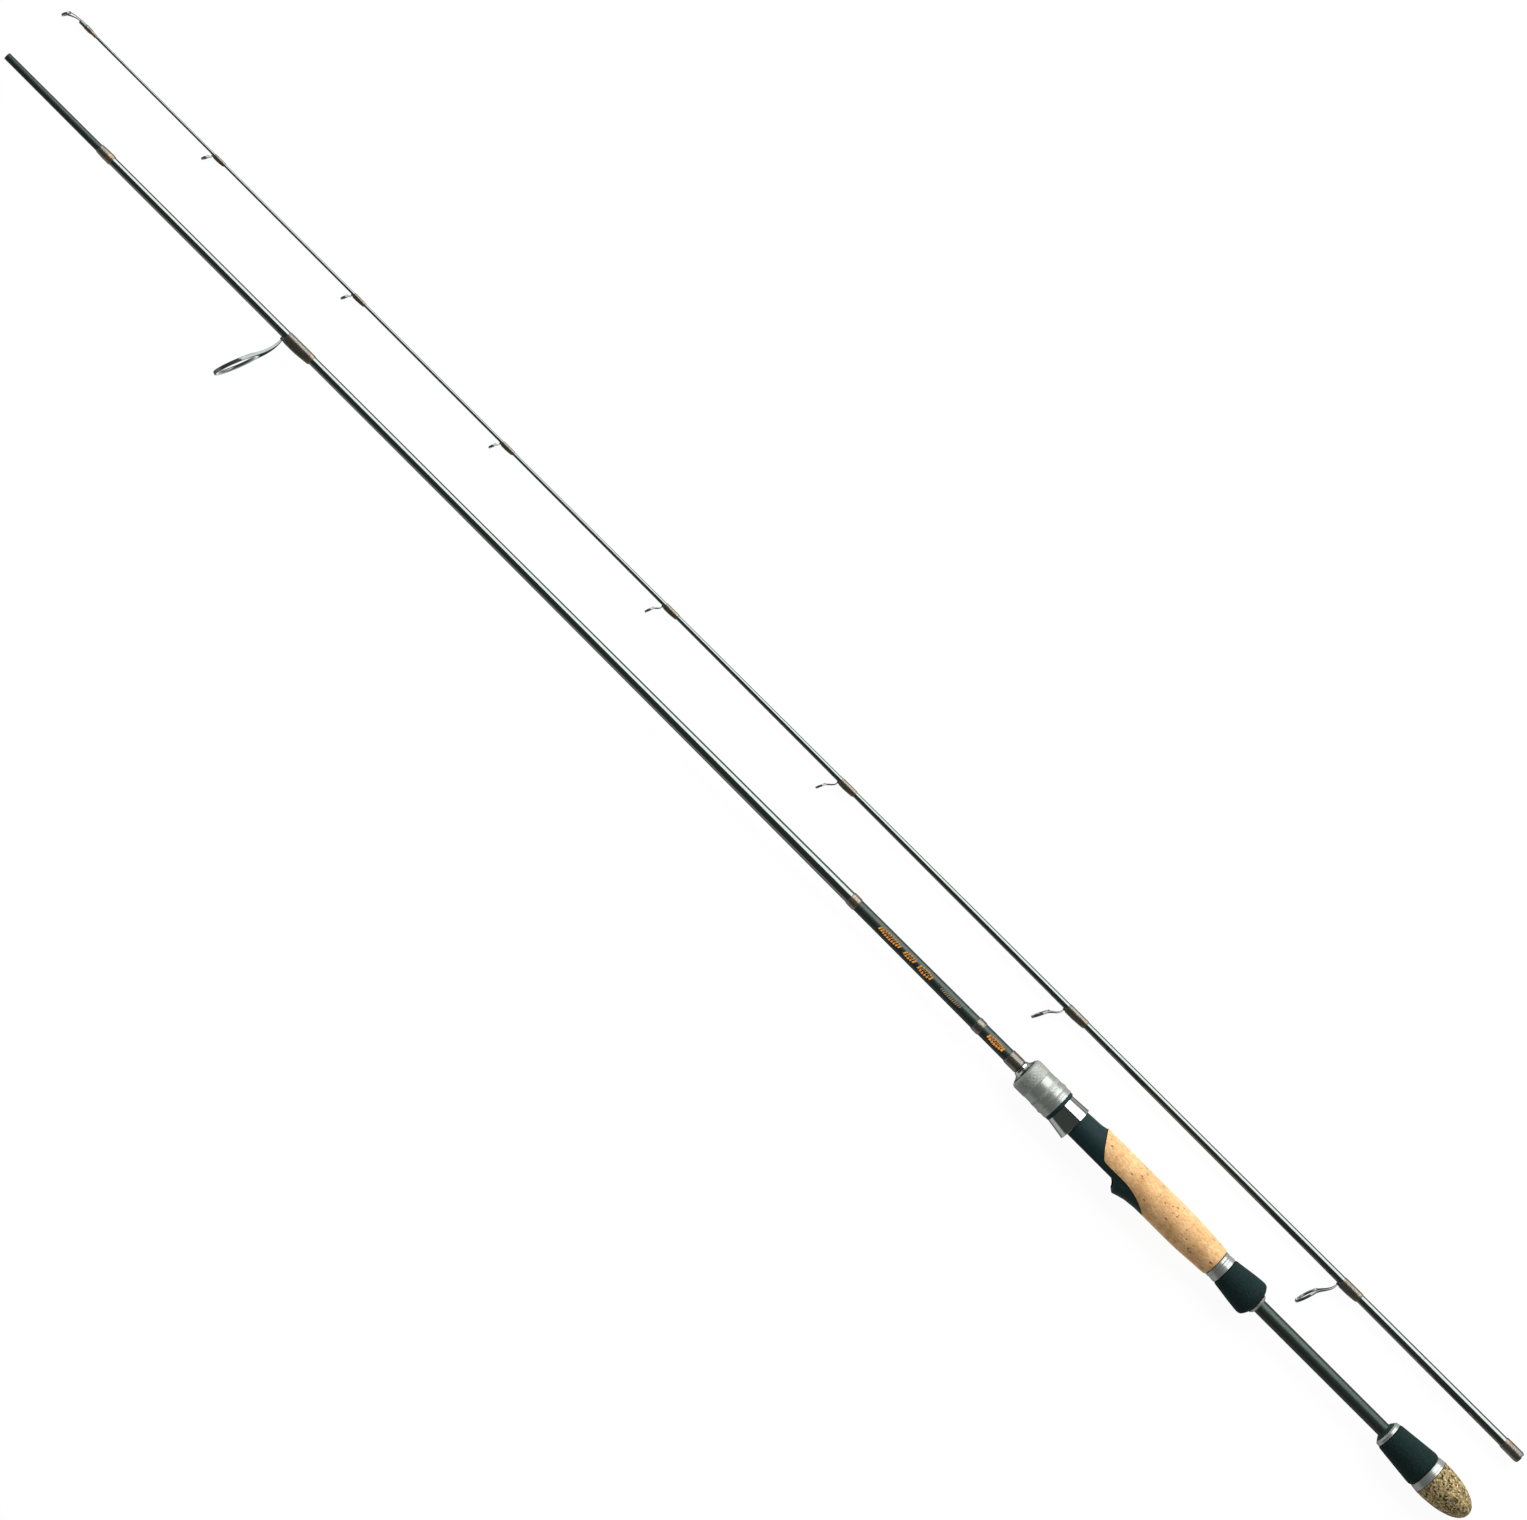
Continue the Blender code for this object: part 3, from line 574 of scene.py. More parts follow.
def blank_outline(body, first, last):
    """Outer and inner (station, radius) points of a blank between two stations."""
    points = BLANKS[body]
    inside = [(x, r) for x, r in points if first < x < last]
    outer = [(first, between(points, first)), *inside, (last, between(points, last))]
    bore = [(x, max(LEAST_BORE, r - BLANK_WALL)) for x, r in reversed(outer)]
    return outer, bore


def blank_piece(name, node, first, last, look):
    outer, bore = blank_outline(body_of(node), first, last)
    obj = turned(name, rounded(outer + bore, 0.2, 3), 64)
    finish_piece(obj, [node], [look])


def socket_piece():
    """The tip blank's thick end, with its socket."""
    stations, *across = section_points("socket_sleeve").T
    radii = np.hypot(*across)
    start, mouth = span_of("socket_sleeve")
    at_mouth = radii[stations > mouth - AT_END].min()
    bottom = min(x for x in stations if start + AT_END < x < mouth - AT_END)
    deep = {round(r, 2) for r, x in zip(radii, stations) if abs(x - bottom) < AT_END}
    narrow, wide = sorted(deep)[:2]
    front = start - 1.0  # it runs a little into the tube
    outer, _ = blank_outline("tip_section", front, mouth)
    bore = [(mouth, at_mouth), (bottom, wide), (bottom, narrow), (front, narrow)]
    obj = turned("fine_socket_sleeve", rounded(outer + bore, SOCKET_RIM, 3), 64)
    finish_piece(obj, ["socket_sleeve"], ["gloss_carbon"])


def blanks():
    """The butt blank is matt, glossy and matt again, and the tip blank is glossy."""
    butt, tip = BLANKS["butt_section"], BLANKS["tip_section"]
    blank_piece("fine_male_end", "butt_blank", butt[0][0], GLOSS_FROM, "matte_carbon")
    blank_piece("fine_upper_blank", "butt_blank", GLOSS_FROM, GLOSS_TO, "gloss_carbon")
    blank_piece("fine_lower_blank", "butt_blank", GLOSS_TO, butt[-1][0], "matte_carbon")
    sleeve_front = outline_of("tip_blank")[-1][0]
    blank_piece("fine_tip_blank", "tip_blank", tip[0][0], sleeve_front, "gloss_carbon")
    socket_piece()


# -------- wraps


def runout_length(first, last):
    return min(EPOXY_RUNOUT, 0.3 * (last - first))


def runout(x, first, last):
    """1 along a wrap, easing to 0 at its ends as epoxy does."""
    near = min(x - first, last - x) / runout_length(first, last)
    return math.sqrt(max(0.0, 1 - (1 - min(1.0, max(0.0, near))) ** 2))


def wrap_stations(first, last):
    """Close together on the end slopes, a step apart along the middle."""
    reach = runout_length(first, last)
    slope = [reach * (1 - math.cos(math.pi / 2 * i / 8)) for i in range(9)]
    middle = np.arange(first + reach + WRAP_STEP, last - reach, WRAP_STEP)
    return [first + s for s in slope] + list(middle) + [last - s for s in reversed(slope)]


def wrap_piece(node, outer, span, sunk, sides, bands, looks=GOLD_ENDED):
    """A wrap between two stations, its inner side sunk into the blank."""

    def inner(x, _):
        return blank_radius(node, x) - sunk

    obj = surface(f"fine_{node}", wrap_stations(*span), outer, inner, sides)
    finish_piece(obj, [node], looks)
    paint_bands(obj, bands)


def trim_wrap(node, looks=GOLD_ENDED, bands=()):
    """A wrap of even height on the bare blank."""
    points, _, first, last = profile_of(node)
    height = max(r for _, r in points) - blank_radius(node, (first + last) / 2)

    def outer(x, _):
        return blank_radius(node, x) + WRAP_GAP + height * runout(x, first, last)

    wrap_piece(node, outer, (first, last), 0.3, 64, bands, looks)


def paint_bands(obj, bands):
    """Gives the second look to the faces at stations inside any of the bands."""
    for face in obj.data.polygons:
        station = face.center.x / MM
        if any(low <= station <= high for low, high in bands):
            face.material_index = 1


# -------- guides

# A ceramic ring's place, axes and sizes, and the diameter of the metal hoop round it
Hoop = namedtuple("Hoop", "centre normal up across outer inner half diameter")
RING_SHARE, RING_INSET = 0.479, 0.4  # a ring's outer radius: a share of the hoop, less the inset
FOOT_SHARE = 0.86  # of the wrap's length
BRACE_WIDTH, BRACE_THICKNESS = 0.5, 0.34  # of the tip-top's three braces


def hoop_of(ring_node):
    """Place and sizes of a guide, from its ceramic ring in the CAD."""
    points = np.unique(section_points(ring_node).round(3), axis=0)
    centre = (points.max(axis=0) + points.min(axis=0)) / 2
    _, _, directions = np.linalg.svd(points - points.mean(axis=0))
    normal = directions[2] * -math.copysign(1, directions[2][0])
    across = np.array((0.0, 0.0, 1.0))
    up = np.cross(across, normal)
    up *= -math.copysign(1, up[1])
    along = (points - centre) @ normal
    radial = np.linalg.norm(points - centre - along[:, None] * normal, axis=1)
    outer, inner, half = float(radial.max()), float(radial.min()), float(along.max())
    diameter = (outer + RING_INSET) / RING_SHARE
    return Hoop(centre, normal, up, across, outer, inner, half, diameter)


def spoke(hoop, angle):
    """Direction from the hoop's centre, counted from the side nearest the blank."""
    return -math.cos(angle) * hoop.up + math.sin(angle) * hoop.across


def round_hoop(name, hoop, section, sides=128):
    """A closed band whose cross-section is a closed list of (radius, offset along the axis)."""
    rings = []
    for angle in turn_angles(sides):
        way = spoke(hoop, angle)
        rings.append([hoop.centre + r * way + a * hoop.normal for r, a in section])
    return skin(name, rings, hollow=True)


def on_hoop(hoop, radius, angle):
    return Vector(hoop.centre + radius * spoke(hoop, angle))


def band_sizes(hoop):
    """Thickness and width of the hoop's metal band."""
    return 0.3 + 0.021 * hoop.diameter, 1.0 + 0.045 * hoop.diameter


def metal_section(hoop):
    """A rolled band, crowned outside."""
    band, width = band_sizes(hoop)
    outer, half = hoop.diameter / 2, width / 2
    inner = outer - band
    edge = outer - 0.12 * band
    box = [(inner, -half), (edge, -half), (outer, 0.0), (edge, half), (inner, half)]
    return rounded(box, 0.38 * band)


def ceramic_section(hoop):
    """A ring rounded toward its bore, as the line needs."""
    steps = 10
    depth = hoop.outer - hoop.inner
    shoulder = hoop.outer - 0.2 * depth
    section = [(hoop.outer, -hoop.half), (shoulder, -hoop.half)]
    for i in range(1, steps):
        angle = math.pi * i / steps
        radius = shoulder - 0.8 * depth * math.sin(angle)
        section.append((radius, -hoop.half * math.cos(angle)))
    return section + [(shoulder, hoop.half), (hoop.outer, hoop.half)]


def strip(name, path, widths, thickness):
    """A bar with rounded edges along a path, its flat faces turned toward the rod's two sides."""
    corner = [(-1, -1), (1, -1), (1, 1), (-1, 1)]
    rings = []
    for i, point in enumerate(path):
        along = (path[min(i + 1, len(path) - 1)] - path[max(i - 1, 0)]).normalized()
        face = Vector((0, 0, 1))
        face = (face - face.dot(along) * along).normalized()
        edge = along.cross(face)
        half, depth = widths[i] / 2, thickness / 2
        loop = rounded([(u * half, v * depth) for u, v in corner], 0.4 * thickness, 3)
        rings.append([point + u * edge + v * face for u, v in loop])
    return skin(name, rings)


def arm(name, hoop, start, side, root_width):
    """One of the two arms that carry the hoop: it bends into the band and runs on inside it."""
    band, width = band_sizes(hoop)
    radius = hoop.diameter / 2 - band / 2
    meets, runs_on = math.radians(62), math.radians(26)
    joint = on_hoop(hoop, radius, side * meets)
    tangent = (on_hoop(hoop, radius, side * (meets + 0.01)) - joint).normalized()
    reach = 0.38 * (joint - start).length
    rise = Vector((0.06, -1, side * 0.25)).normalized()
    path = interpolate_bezier(start, start + reach * rise, joint - reach * tangent, joint, 24)
    for part in np.linspace(0.15, 1, 8):
        path.append(on_hoop(hoop, radius, side * (meets + part * runs_on)))
    widths = [root_width + (0.86 * width - root_width) * min(1, i / 22) for i in range(len(path))]
    return strip(name, path, widths, 0.75 * band)


def foot_fade(t):
    """Share of the foot's height that is left at t, from 0 at the leg to 1 at its end."""
    return 1 - 0.75 * max(0.0, (t - 0.4) / 0.6) ** 1.3


def foot_bar(name, first, last, low, width, height):
    """The strip under the wrap: full height at the leg, thin and narrow at its end."""
    rings = []
    for t in np.linspace(0, 1, 24):
        high, half = height * foot_fade(t), width / 2 * (1 - 0.35 * max(0.0, (t - 0.6) / 0.4))
        box = [(-half, -0.3), (half, -0.3), (half, high), (-half, high)]
        x = first + t * (last - first)
        rings.append([(x, -(low + v), u) for u, v in rounded(box, 0.3 * height, 3)])
    return skin(name, rings)


def foot_wrap(node, foot_top, foot_width, first, last):
    """Thread and epoxy over the foot: it lies on the foot's edges and runs straight to the blank."""
    sides, blur = 72, 4
    angles = turn_angles(sides)
    away = np.minimum(angles, TAU - angles)

    def outer(x, _):
        blank = blank_radius(node, x)
        t = (x - first) / (last - first)
        top = blank + (foot_top - blank) * foot_fade(t)
        corner = math.atan2(foot_width / 2, top)
        reach = math.hypot(foot_width / 2, top)
        tangent = corner + math.acos(min(1.0, blank / reach))
        radii = np.full(sides, blank)
        radii = np.where(away < tangent, blank / np.cos(np.minimum(tangent - away, 1.5)), radii)
        radii = np.where(away < corner, top / np.cos(away), radii)
        kernel = np.exp(-np.linspace(-2, 2, 2 * blur + 1) ** 2)
        spread = np.concatenate([radii[-blur:], radii, radii[:blur]])
        radii = np.convolve(spread, kernel / kernel.sum(), "valid")
        return blank + WRAP_GAP + (radii - blank + THREAD_LIFT) * runout(x, first, last)

    bands = [(last - GOLD_BAND[1], last - GOLD_BAND[0])]
    wrap_piece(node, outer, (first, last), 0.25, sides, bands)


def frame_and_ring(name, metal, tools, hoop):
    """Joins a guide's metal into its frame, and adds its ceramic ring."""
    combined(metal, "UNION", tools)
    finish_piece(metal, [f"{name}_frame"], ["guide_metal"])
    ring = round_hoop(f"fine_{name}_ring", hoop, ceramic_section(hoop))
    finish_piece(ring, [f"{name}_ring"], ["ceramic"])


def guide(name):
    """A frame of hoop, arms and foot that grow with the hoop, the ceramic ring, and the wrap."""
    hoop = hoop_of(f"{name}_ring")
    d = hoop.diameter
    wrap = f"{name}_wrap"
    first, last = span_of(wrap)
    root_width = 0.5 + 0.025 * d
    leg = first - 0.25 - root_width / 2  # just in front of the wrap
    foot_width, foot_height = 1.0 + 0.05 * d, 0.45 + 0.035 * d
    low = max(blank_radius(wrap, leg), blank_radius(wrap, last))
    metal = round_hoop(f"fine_{name}_frame", hoop, metal_section(hoop))
    tools = []
    for side in (1, -1):
        start = Vector((leg, -(low + 0.5 * foot_height), side * foot_width * 0.2))
        tools.append(arm(f"{name}_arm{side}", hoop, start, side, root_width))
    foot_end = leg + FOOT_SHARE * (last - leg)
    bar = foot_bar(f"{name}_bar", leg - root_width, foot_end, low, foot_width, foot_height)
    frame_and_ring(name, metal, [*tools, bar], hoop)
    foot_wrap(wrap, low + foot_height, foot_width, first, last)


def tip_top():
    """The last ring on three braces from a small tube."""
    hoop = hoop_of("tip_top_ring")
    points = section_points("tip_top_frame")
    rear = points[:, 0].max()
    at_rear = np.hypot(*points[points[:, 0] > rear - AT_END][:, 1:].T)
    bore, outer = at_rear.min(), at_rear.max()
    front = TIP_BLANK_FRONT - 0.6
    outline = [(front, 0.3), (front, outer - 0.1), (front + 0.4, outer), (rear, outer)]
    outline += [(rear, bore), (front + 0.5, bore), (front + 0.5, 0.3)]
    tube = turned("fine_tip_top_frame", rounded(outline, 0.12), 48)
    tools = [round_hoop("tip_top_hoop", hoop, metal_section(hoop))]
    band, _ = band_sizes(hoop)
    root = 0.73 / 1.24 * outer  # how far from the axis each brace starts
    for word, angle, y, z in (("left", 1.75, 0, 1), ("right", -1.75, 0, -1), ("brace", 0, 1, 0)):
        start = Vector((front + 0.25, y * root, z * root))
        end = on_hoop(hoop, hoop.diameter / 2 - band / 2, angle)
        bend = Vector((start.x - 3.5, start.y, (start.z + end.z) / 2))
        path = interpolate_bezier(start, bend, (bend + end) / 2, end, 20)
        widths = [BRACE_WIDTH] * len(path)
        tools.append(strip(f"tip_top_{word}", path, widths, BRACE_THICKNESS))
    frame_and_ring("tip_top", tube, tools, hoop)
    tip_top_wrap(rear, outer)


def tip_top_wrap(tube_end, tube_radius):
    """The wrap that covers the rear of the tip-top's tube and slopes down to the blank."""
    node = "tip_top_wrap"
    first, last = span_of(node)

    def outer(x, _):
        blank = blank_radius(node, x)
        over = tube_radius + (blank - tube_radius) * min(1, max(0, (x - tube_end + 0.8) / 1.6))
        low = tube_radius if x < tube_end else blank
        return low + WRAP_GAP + (over - low + 0.24) * runout(x, first, last)

    wrap_piece(node, outer, (first, last), 0.2, 48, [(last - 2.4, last - 1.0)])


# -------- reel seat and cork

SADDLE = 8.05  # height of the flat that the reel's foot lies on
SADDLE_FADE = ((907.0, 8.05), (925.0, 10.95))  # where the flat rises out behind the foot
# Barrel, from the front: (station, radius)
SEAT_PROFILE = ((823.3, 8.3), (824.3, 8.6), (862.0, 8.6), (863.0, 8.9))
SEAT_PROFILE += ((876.0, 9.55), (880.5, 10.45), (900.0, 10.7), (931.8, 10.9))
# Crest of the fixed hood on the guide side: (station, height)
HOOD_TOP = ((899.5, 8.05), (902.0, 9.7), (904.7, 12.1), (907.3, 14.1))
HOOD_TOP += ((911.0, 12.9), (915.0, 11.8), (922.5, 11.0), (931.8, 10.9))
ARCH_CENTRE, ARCH_HALF_WIDTH = 5.0, 8.9
POCKET = ((896.0, 13.3), (907.0, 11.9), (919.0, 10.2))  # its roof: (station, height)
POCKET_HALF_WIDTH = 6.4
SEAT_BORE = 6.0
SEAT_TUBE, SEAT_TUBE_FRONT, SEAT_END = 6.9, 872.0, 944.0  # the seat's tube inside the cork
THREAD = (824.6, 860.5)
THREAD_PITCH, THREAD_DEPTH = 2.0, 0.32

# Cork: the seam's two sides each keep SEAM_GAP from it; its curves hold (station, y)
CORK_FRONT, CORK_FRONT_RADIUS = 878.8, 10.95
CORK_LIKE_CAD_FROM = 945.0  # in front of it the CAD's cork is cut back for the seat
SEAM_GAP = 0.04
SEAM_CURVES = (
    ((879.0, 13.2), (881.4, 7.4), (886.0, 0.2), (890.2, -3.4)),
    ((890.2, -3.4), (891.4, -4.3), (893.0, -4.2), (895.0, -4.2)),
    ((905.0, -4.2), (915.0, -4.2), (922.5, -6.8), (931.6, -12.6)),
)

# Moving hood, front and rear
HOOD = (852.2, 864.9)
HOOD_RADIUS = (9.5, 10.2)
HOOD_ARCH_TOP = (10.1, 12.1)
HOOD_ARCH_HALF_WIDTH = (7.6, 8.9)
HOOD_WALL = 0.42
HOOD_FILLET = 0.35  # softens the corner between the hood's arch and its round part

# Lock nut
KNURLS = ((825.2, 832.6, 0.22, 1.15), (838.5, 840.4, 0.16, 0.8))  # from, to, depth, pitch
NUT_LINES = (841.2, 842.1, 843.0, 846.9, 848.2)
NUT_BORE, NUT_END_WALL = 9.7, 2.8  # the shell's wide bore, and how far behind its front it starts


def arch_radius(angles, top, half_width):
    """Radii of an elliptical arch on the guide side, or 0 where it has none."""
    cos, sin = np.cos(angles), np.sin(angles)
    rise = top - ARCH_CENTRE
    a = (cos / rise) ** 2 + (sin / half_width) ** 2
    b = -2 * ARCH_CENTRE * cos / rise**2
    c = (ARCH_CENTRE / rise) ** 2 - 1
    inside = b * b - 4 * a * c
    radii = (-b + np.sqrt(np.maximum(inside, 0))) / (2 * a)
    return np.where((inside > 0) & (cos > 0.1), radii, 0.0)


def softened(points, x, spread):
    """between(), averaged over a short stretch so that its corners are round."""
    return sum(between(points, x + spread * k / 4) for k in range(-4, 5)) / 9


def thread_depth(x, angles):
    """How deep the nut's thread is cut into the barrel; it fades out at both ends."""
    phase = (x / THREAD_PITCH + angles / TAU) % 1
    fade = min(1.0, max(0.0, min(x - THREAD[0], THREAD[1] - x)))
    return THREAD_DEPTH * fade * np.clip(1.6 * np.abs(2 * phase - 1) - 0.4, 0, 1)


def seat_radii(x, angles):
    """The seat's outside: threaded barrel, flat on the guide side, and fixed hood."""
    base = softened(SEAT_PROFILE, x, 0.35) - thread_depth(x, angles)
    cos = np.cos(angles)
    flat = np.where(cos > 0.1, softened(SADDLE_FADE, x, 1.0) / np.maximum(cos, 0.1), base)
    radii = np.minimum(base, flat)
    if x > HOOD_TOP[0][0]:
        arch = arch_radius(angles, softened(HOOD_TOP, x, 0.5), ARCH_HALF_WIDTH)
        radii = np.maximum(radii, arch)
    return radii


def seam(shift):
    """The side view of the line between seat and cork, moved across by shift."""
    points = []
    for curve in SEAM_CURVES:
        points += interpolate_bezier(*[Vector((x, y + shift, 0)) for x, y in curve], 24)
    return [(point.x, point.y) for point in points]


def side_prism(name, outline, half_width=14):
    """A prism whose (station, y) outline is seen from the side of the rod."""
    return skin(name, [[(x, y, z) for x, y in outline] for z in (-half_width, half_width)])


def seat_pocket():
    """The space under the fixed hood for the rear of the reel's foot."""
    floor = SADDLE - 0.05
    arc = np.linspace(0, math.pi, 33)
    rings = []
    for x in np.linspace(POCKET[0][0], POCKET[-1][0], 24):
        rise = between(POCKET, x) - floor
        half = POCKET_HALF_WIDTH * (1 - 0.15 * max(0, (x - 912) / 7))
        rings.append([(x, -floor - rise * math.sin(a), half * math.cos(a)) for a in arc])
    return skin("pocket_space", rings)


def plain_rod(name, first, last, radius):
    return turned(name, [(first, 0), (first, radius), (last, radius), (last, 0)], 64)


def reel_seat():
    """Barrel, saddle, fixed hood and its tongue, with the tube that goes into the cork."""
    angles = turn_angles(160)
    front, rear = SEAT_PROFILE[0][0], SEAT_PROFILE[-1][0]
    # Stations are closer together along the thread and the fixed hood
    spans = [(front, rear, 0.6), (THREAD[0], 865.0, 0.2), (HOOD_TOP[0][0], 916.0, 0.25)]
    stations = np.concatenate([np.arange(*span) for span in spans] + [[rear]])
    stations = np.unique(stations.round(3))
    body = skin("fine_seat_body", [round_ring(x, seat_radii(x, angles), angles) for x in stations])
    line = seam(-SEAM_GAP)
    behind, far_side = 960, 14
    cork_space = line[1:] + [(behind, line[-1][1]), (behind, far_side), (line[0][0], far_side)]
    combined(body, "DIFFERENCE", [side_prism("cork_space", cork_space)])
    combined(body, "UNION", [plain_rod("seat_tube", SEAT_TUBE_FRONT, SEAT_END, SEAT_TUBE)])
    combined(body, "DIFFERENCE", [plain_rod("seat_bore", 820, 950, SEAT_BORE), seat_pocket()])
    finish_piece(body, ["seat_body"], ["soft_plastic"], 32)


def cork_grip():
    """Round behind the seat, cut along the seam in front, with a bore for the seat's tube."""
    outer, bore, _, rear = profile_of("cork_grip")
    front = CORK_FRONT
    profile = [(front, CORK_FRONT_RADIUS), *[(x, r) for x, r in outer if x > CORK_LIKE_CAD_FROM]]
    tube, step = SEAT_TUBE + 0.1, SEAT_END + 0.5
    smooth = rounded([*profile, (rear, bore), (front, bore)], 2.0, 6)
    outside = [(x, r) for x, r in smooth if r > 8.5]
    stations = np.arange(front, rear - 1.2, 0.7)
    points = [(x, between(profile, x)) for x in stations]
    points += [(x, r) for x, r in outside if x > stations[-1] + 0.1]
    points += [(rear, bore), (step, bore), (step, tube), (front, tube)]
    cork_piece = turned("fine_cork_grip", points, 128)
    line = seam(SEAM_GAP)
    ahead, guide_side = 870, -16
    seat_space = line + [(line[-1][0], guide_side), (ahead, guide_side), (ahead, line[0][1])]
    combined(cork_piece, "DIFFERENCE", [side_prism("seat_space", seat_space)])
    finish_piece(cork_piece, ["cork_grip"], ["cork"], 32)


# -------- hood and nut


def along_hood(values, x):
    return between(((HOOD[0], values[0]), (HOOD[1], values[1])), x)


def hood_radii(x, angles, inward=0.0):
    """The larger of the hood's round part and its arch, with a fillet between them."""
    arch = arch_radius(angles, along_hood(HOOD_ARCH_TOP, x), along_hood(HOOD_ARCH_HALF_WIDTH, x))
    ring = along_hood(HOOD_RADIUS, x)
    return (ring + arch + np.hypot(ring - arch, HOOD_FILLET)) / 2 - inward


def moving_hood():
    """The polished hood with its rolled rims, and the soft pad under its arch."""
    rim = 0.14
    front, rear = HOOD
    # Round the wall's section: (station, depth under the surface)
    path = [(front, rim + 0.05), (front + rim, 0.0), (rear - 1.0, 0.0), (rear - 0.7, -0.12)]
    path += [(rear - 0.15, -0.12), (rear, 0.05), (rear, HOOD_WALL), (front, HOOD_WALL)]
    lengthwise = []
    for (x0, d0), (x1, d1) in zip(path, path[1:] + path[:1]):
        steps = 24 if x1 - x0 > 5 or x0 - x1 > 5 else 3
        for i in range(steps):
            t = i / steps
            lengthwise.append((x0 + t * (x1 - x0), d0 + t * (d1 - d0)))
    angles = turn_angles(288)
    rings = [round_ring(x, hood_radii(x, angles, depth), angles) for x, depth in lengthwise]
    shell = skin("fine_hood_shell", rings, hollow=True)
    finish_piece(shell, ["hood_shell"], ["mirror_metal"], 50)
    cushion()


def cushion():
    """A curved pad just under the arch."""
    first, last = span_of("hood_cushion")
    spread, top, thickness = math.radians(33), HOOD_WALL + 0.12, 0.5
    angles = np.linspace(-spread, spread, 33)
    rings = []
    for x in np.linspace(first, last, 16):
        end = min(1.0, min(x - first, last - x) / 0.5 + 0.5)
        near = round_ring(x, hood_radii(x, angles, top), angles)
        far = round_ring(x, hood_radii(x, angles, top + thickness * end), angles)
        rings.append(np.concatenate([near, far[::-1]]))
    obj = skin("fine_hood_cushion", rings)
    finish_piece(obj, ["hood_cushion"], ["soft_plastic"])


def knurl_depth(x, angles, radius):
    """How deep the crossed grooves of a diamond knurl are."""
    depth = np.zeros(len(angles))
    for low, high, deepest, pitch in KNURLS:
        if not low < x < high:
            continue
        count = round(TAU * radius / pitch)
        ease = min(1.0, min(x - low, high - x) / 0.35)
        for way in (1, -1):
            phase = count * angles / TAU + way * (x - low) / pitch
            notch = 2 * np.abs(phase - np.floor(phase) - 0.5)
            depth = np.maximum(depth, deepest * ease * np.clip(2 * notch - 1, 0, 1))
    return depth


def groove(x, at, depth, width):
    """Depth at x of a groove turned round a piece."""
    return depth * math.exp(-(((x - at) / width) ** 2))


def lock_nut():
    """The knurled and turned metal shell, and the threaded insert with its flange."""
    outer, bore, first, last = profile_of("nut_shell")
    angles = turn_angles(288)
    rings = []
    for x in np.arange(first, last + 0.01, 0.14):
        radius = softened(outer, x, 0.2) - sum(groove(x, line, 0.16, 0.16) for line in NUT_LINES)
        rings.append(round_ring(x, radius - knurl_depth(x, angles, radius), angles))
    step = first + NUT_END_WALL
    for x, radius in ((last, NUT_BORE), (step, NUT_BORE), (step, bore), (first, bore)):
        rings.append(round_ring(x, radius, angles))
    shell = skin("fine_nut_shell", rings, hollow=True)
    finish_piece(shell, ["nut_shell"], ["nut_metal", "knurled_metal"], 60)
    paint_bands(shell, [(first, 832.6), (838.4, 840.5)])
    turned_piece("nut_insert", "soft_plastic", 0.12)


# -------- grips and rings

FOAM_FILLET = 1.6


def turned_piece(node, look, fillet, steps=5):
    """A turned CAD node made again with its corners rounded."""
    outer, bore, first, last = profile_of(node)
    outline = [*outer, (last, bore), (first, bore)]
    obj = turned(f"fine_{node}", rounded(outline, fillet, steps), 128)
    finish_piece(obj, [node], [look])


def grooved_ring(node, fillet, grooves):
    """A polished ring with fine turned grooves, given as (share of its length, depth)."""
    outer, bore, first, last = profile_of(node)
    length = last - first
    points = []
    for x in np.linspace(first, last, 60):
        cut = sum(groove(x, first + share * length, depth, 0.22) for share, depth in grooves)
        ease = fillet * (1 - min(1.0, min(x - first, last - x) / fillet)) ** 2
        points.append((x, between(outer, x) - cut - ease))
    obj = turned(f"fine_{node}", [*points, (last, bore), (first, bore)], 128)
    finish_piece(obj, [node], ["ring_metal", "soft_plastic"], 60)
    return obj


def butt_knob():
    """A rounded cap of composite cork, closed at the end."""
    outer = outline_of("butt_knob")
    first, last = outer[0][0], span_of("butt_knob")[1]
    length, radius = last - first, outer[0][1]
    roundness = 2.2
    points = []
    for angle in np.linspace(0, math.pi / 2, 40):
        along = math.sin(angle) ** (2 / roundness)
        points.append((first + length * along, radius * max(0.0, math.cos(angle)) ** (2 / roundness)))
    bore, bottom = 4.5, 1173.0  # the hole for the blank
    outline = [*points[:-1], (last, 0), (bottom, 0), (bottom, bore), (first, bore)]
    obj = turned("fine_butt_knob", outline, 128)
    finish_piece(obj, ["butt_knob"], ["composite_cork"])


def grips():
    for word in ("front", "middle", "rear"):
        turned_piece(f"seat_arbor_{word}", "composite_cork", 0.2)
    cork_grip()
    turned_piece("winding_check", "mirror_metal", 0.3)
    grooved_ring("grip_ring", 0.2, [(0.12, 0.12), (0.36, 0.2), (0.62, 0.16)])
    turned_piece("grip_flare", "foam", FOAM_FILLET, 8)
    turned_piece("flare_end_ring", "ring_metal", 0.4)
    cone = grooved_ring("rear_grip_ring", 0.15, [(0.8, 0.12)])
    # The first 1.6 mm of the cone's front is drawn dark, in the ring's second look
    cone_front = outline_of("rear_grip_ring")[0][0]
    paint_bands(cone, [(cone_front, cone_front + 1.6)])
    turned_piece("rear_grip", "foam", FOAM_FILLET, 8)
    grooved_ring("butt_ring", 0.25, [(0.18, 0.15), (0.72, 0.1)])
    butt_knob()


# -------- painted ornament

PAINT_LIFT, PAINT_THICKNESS = 0.03, 0.02


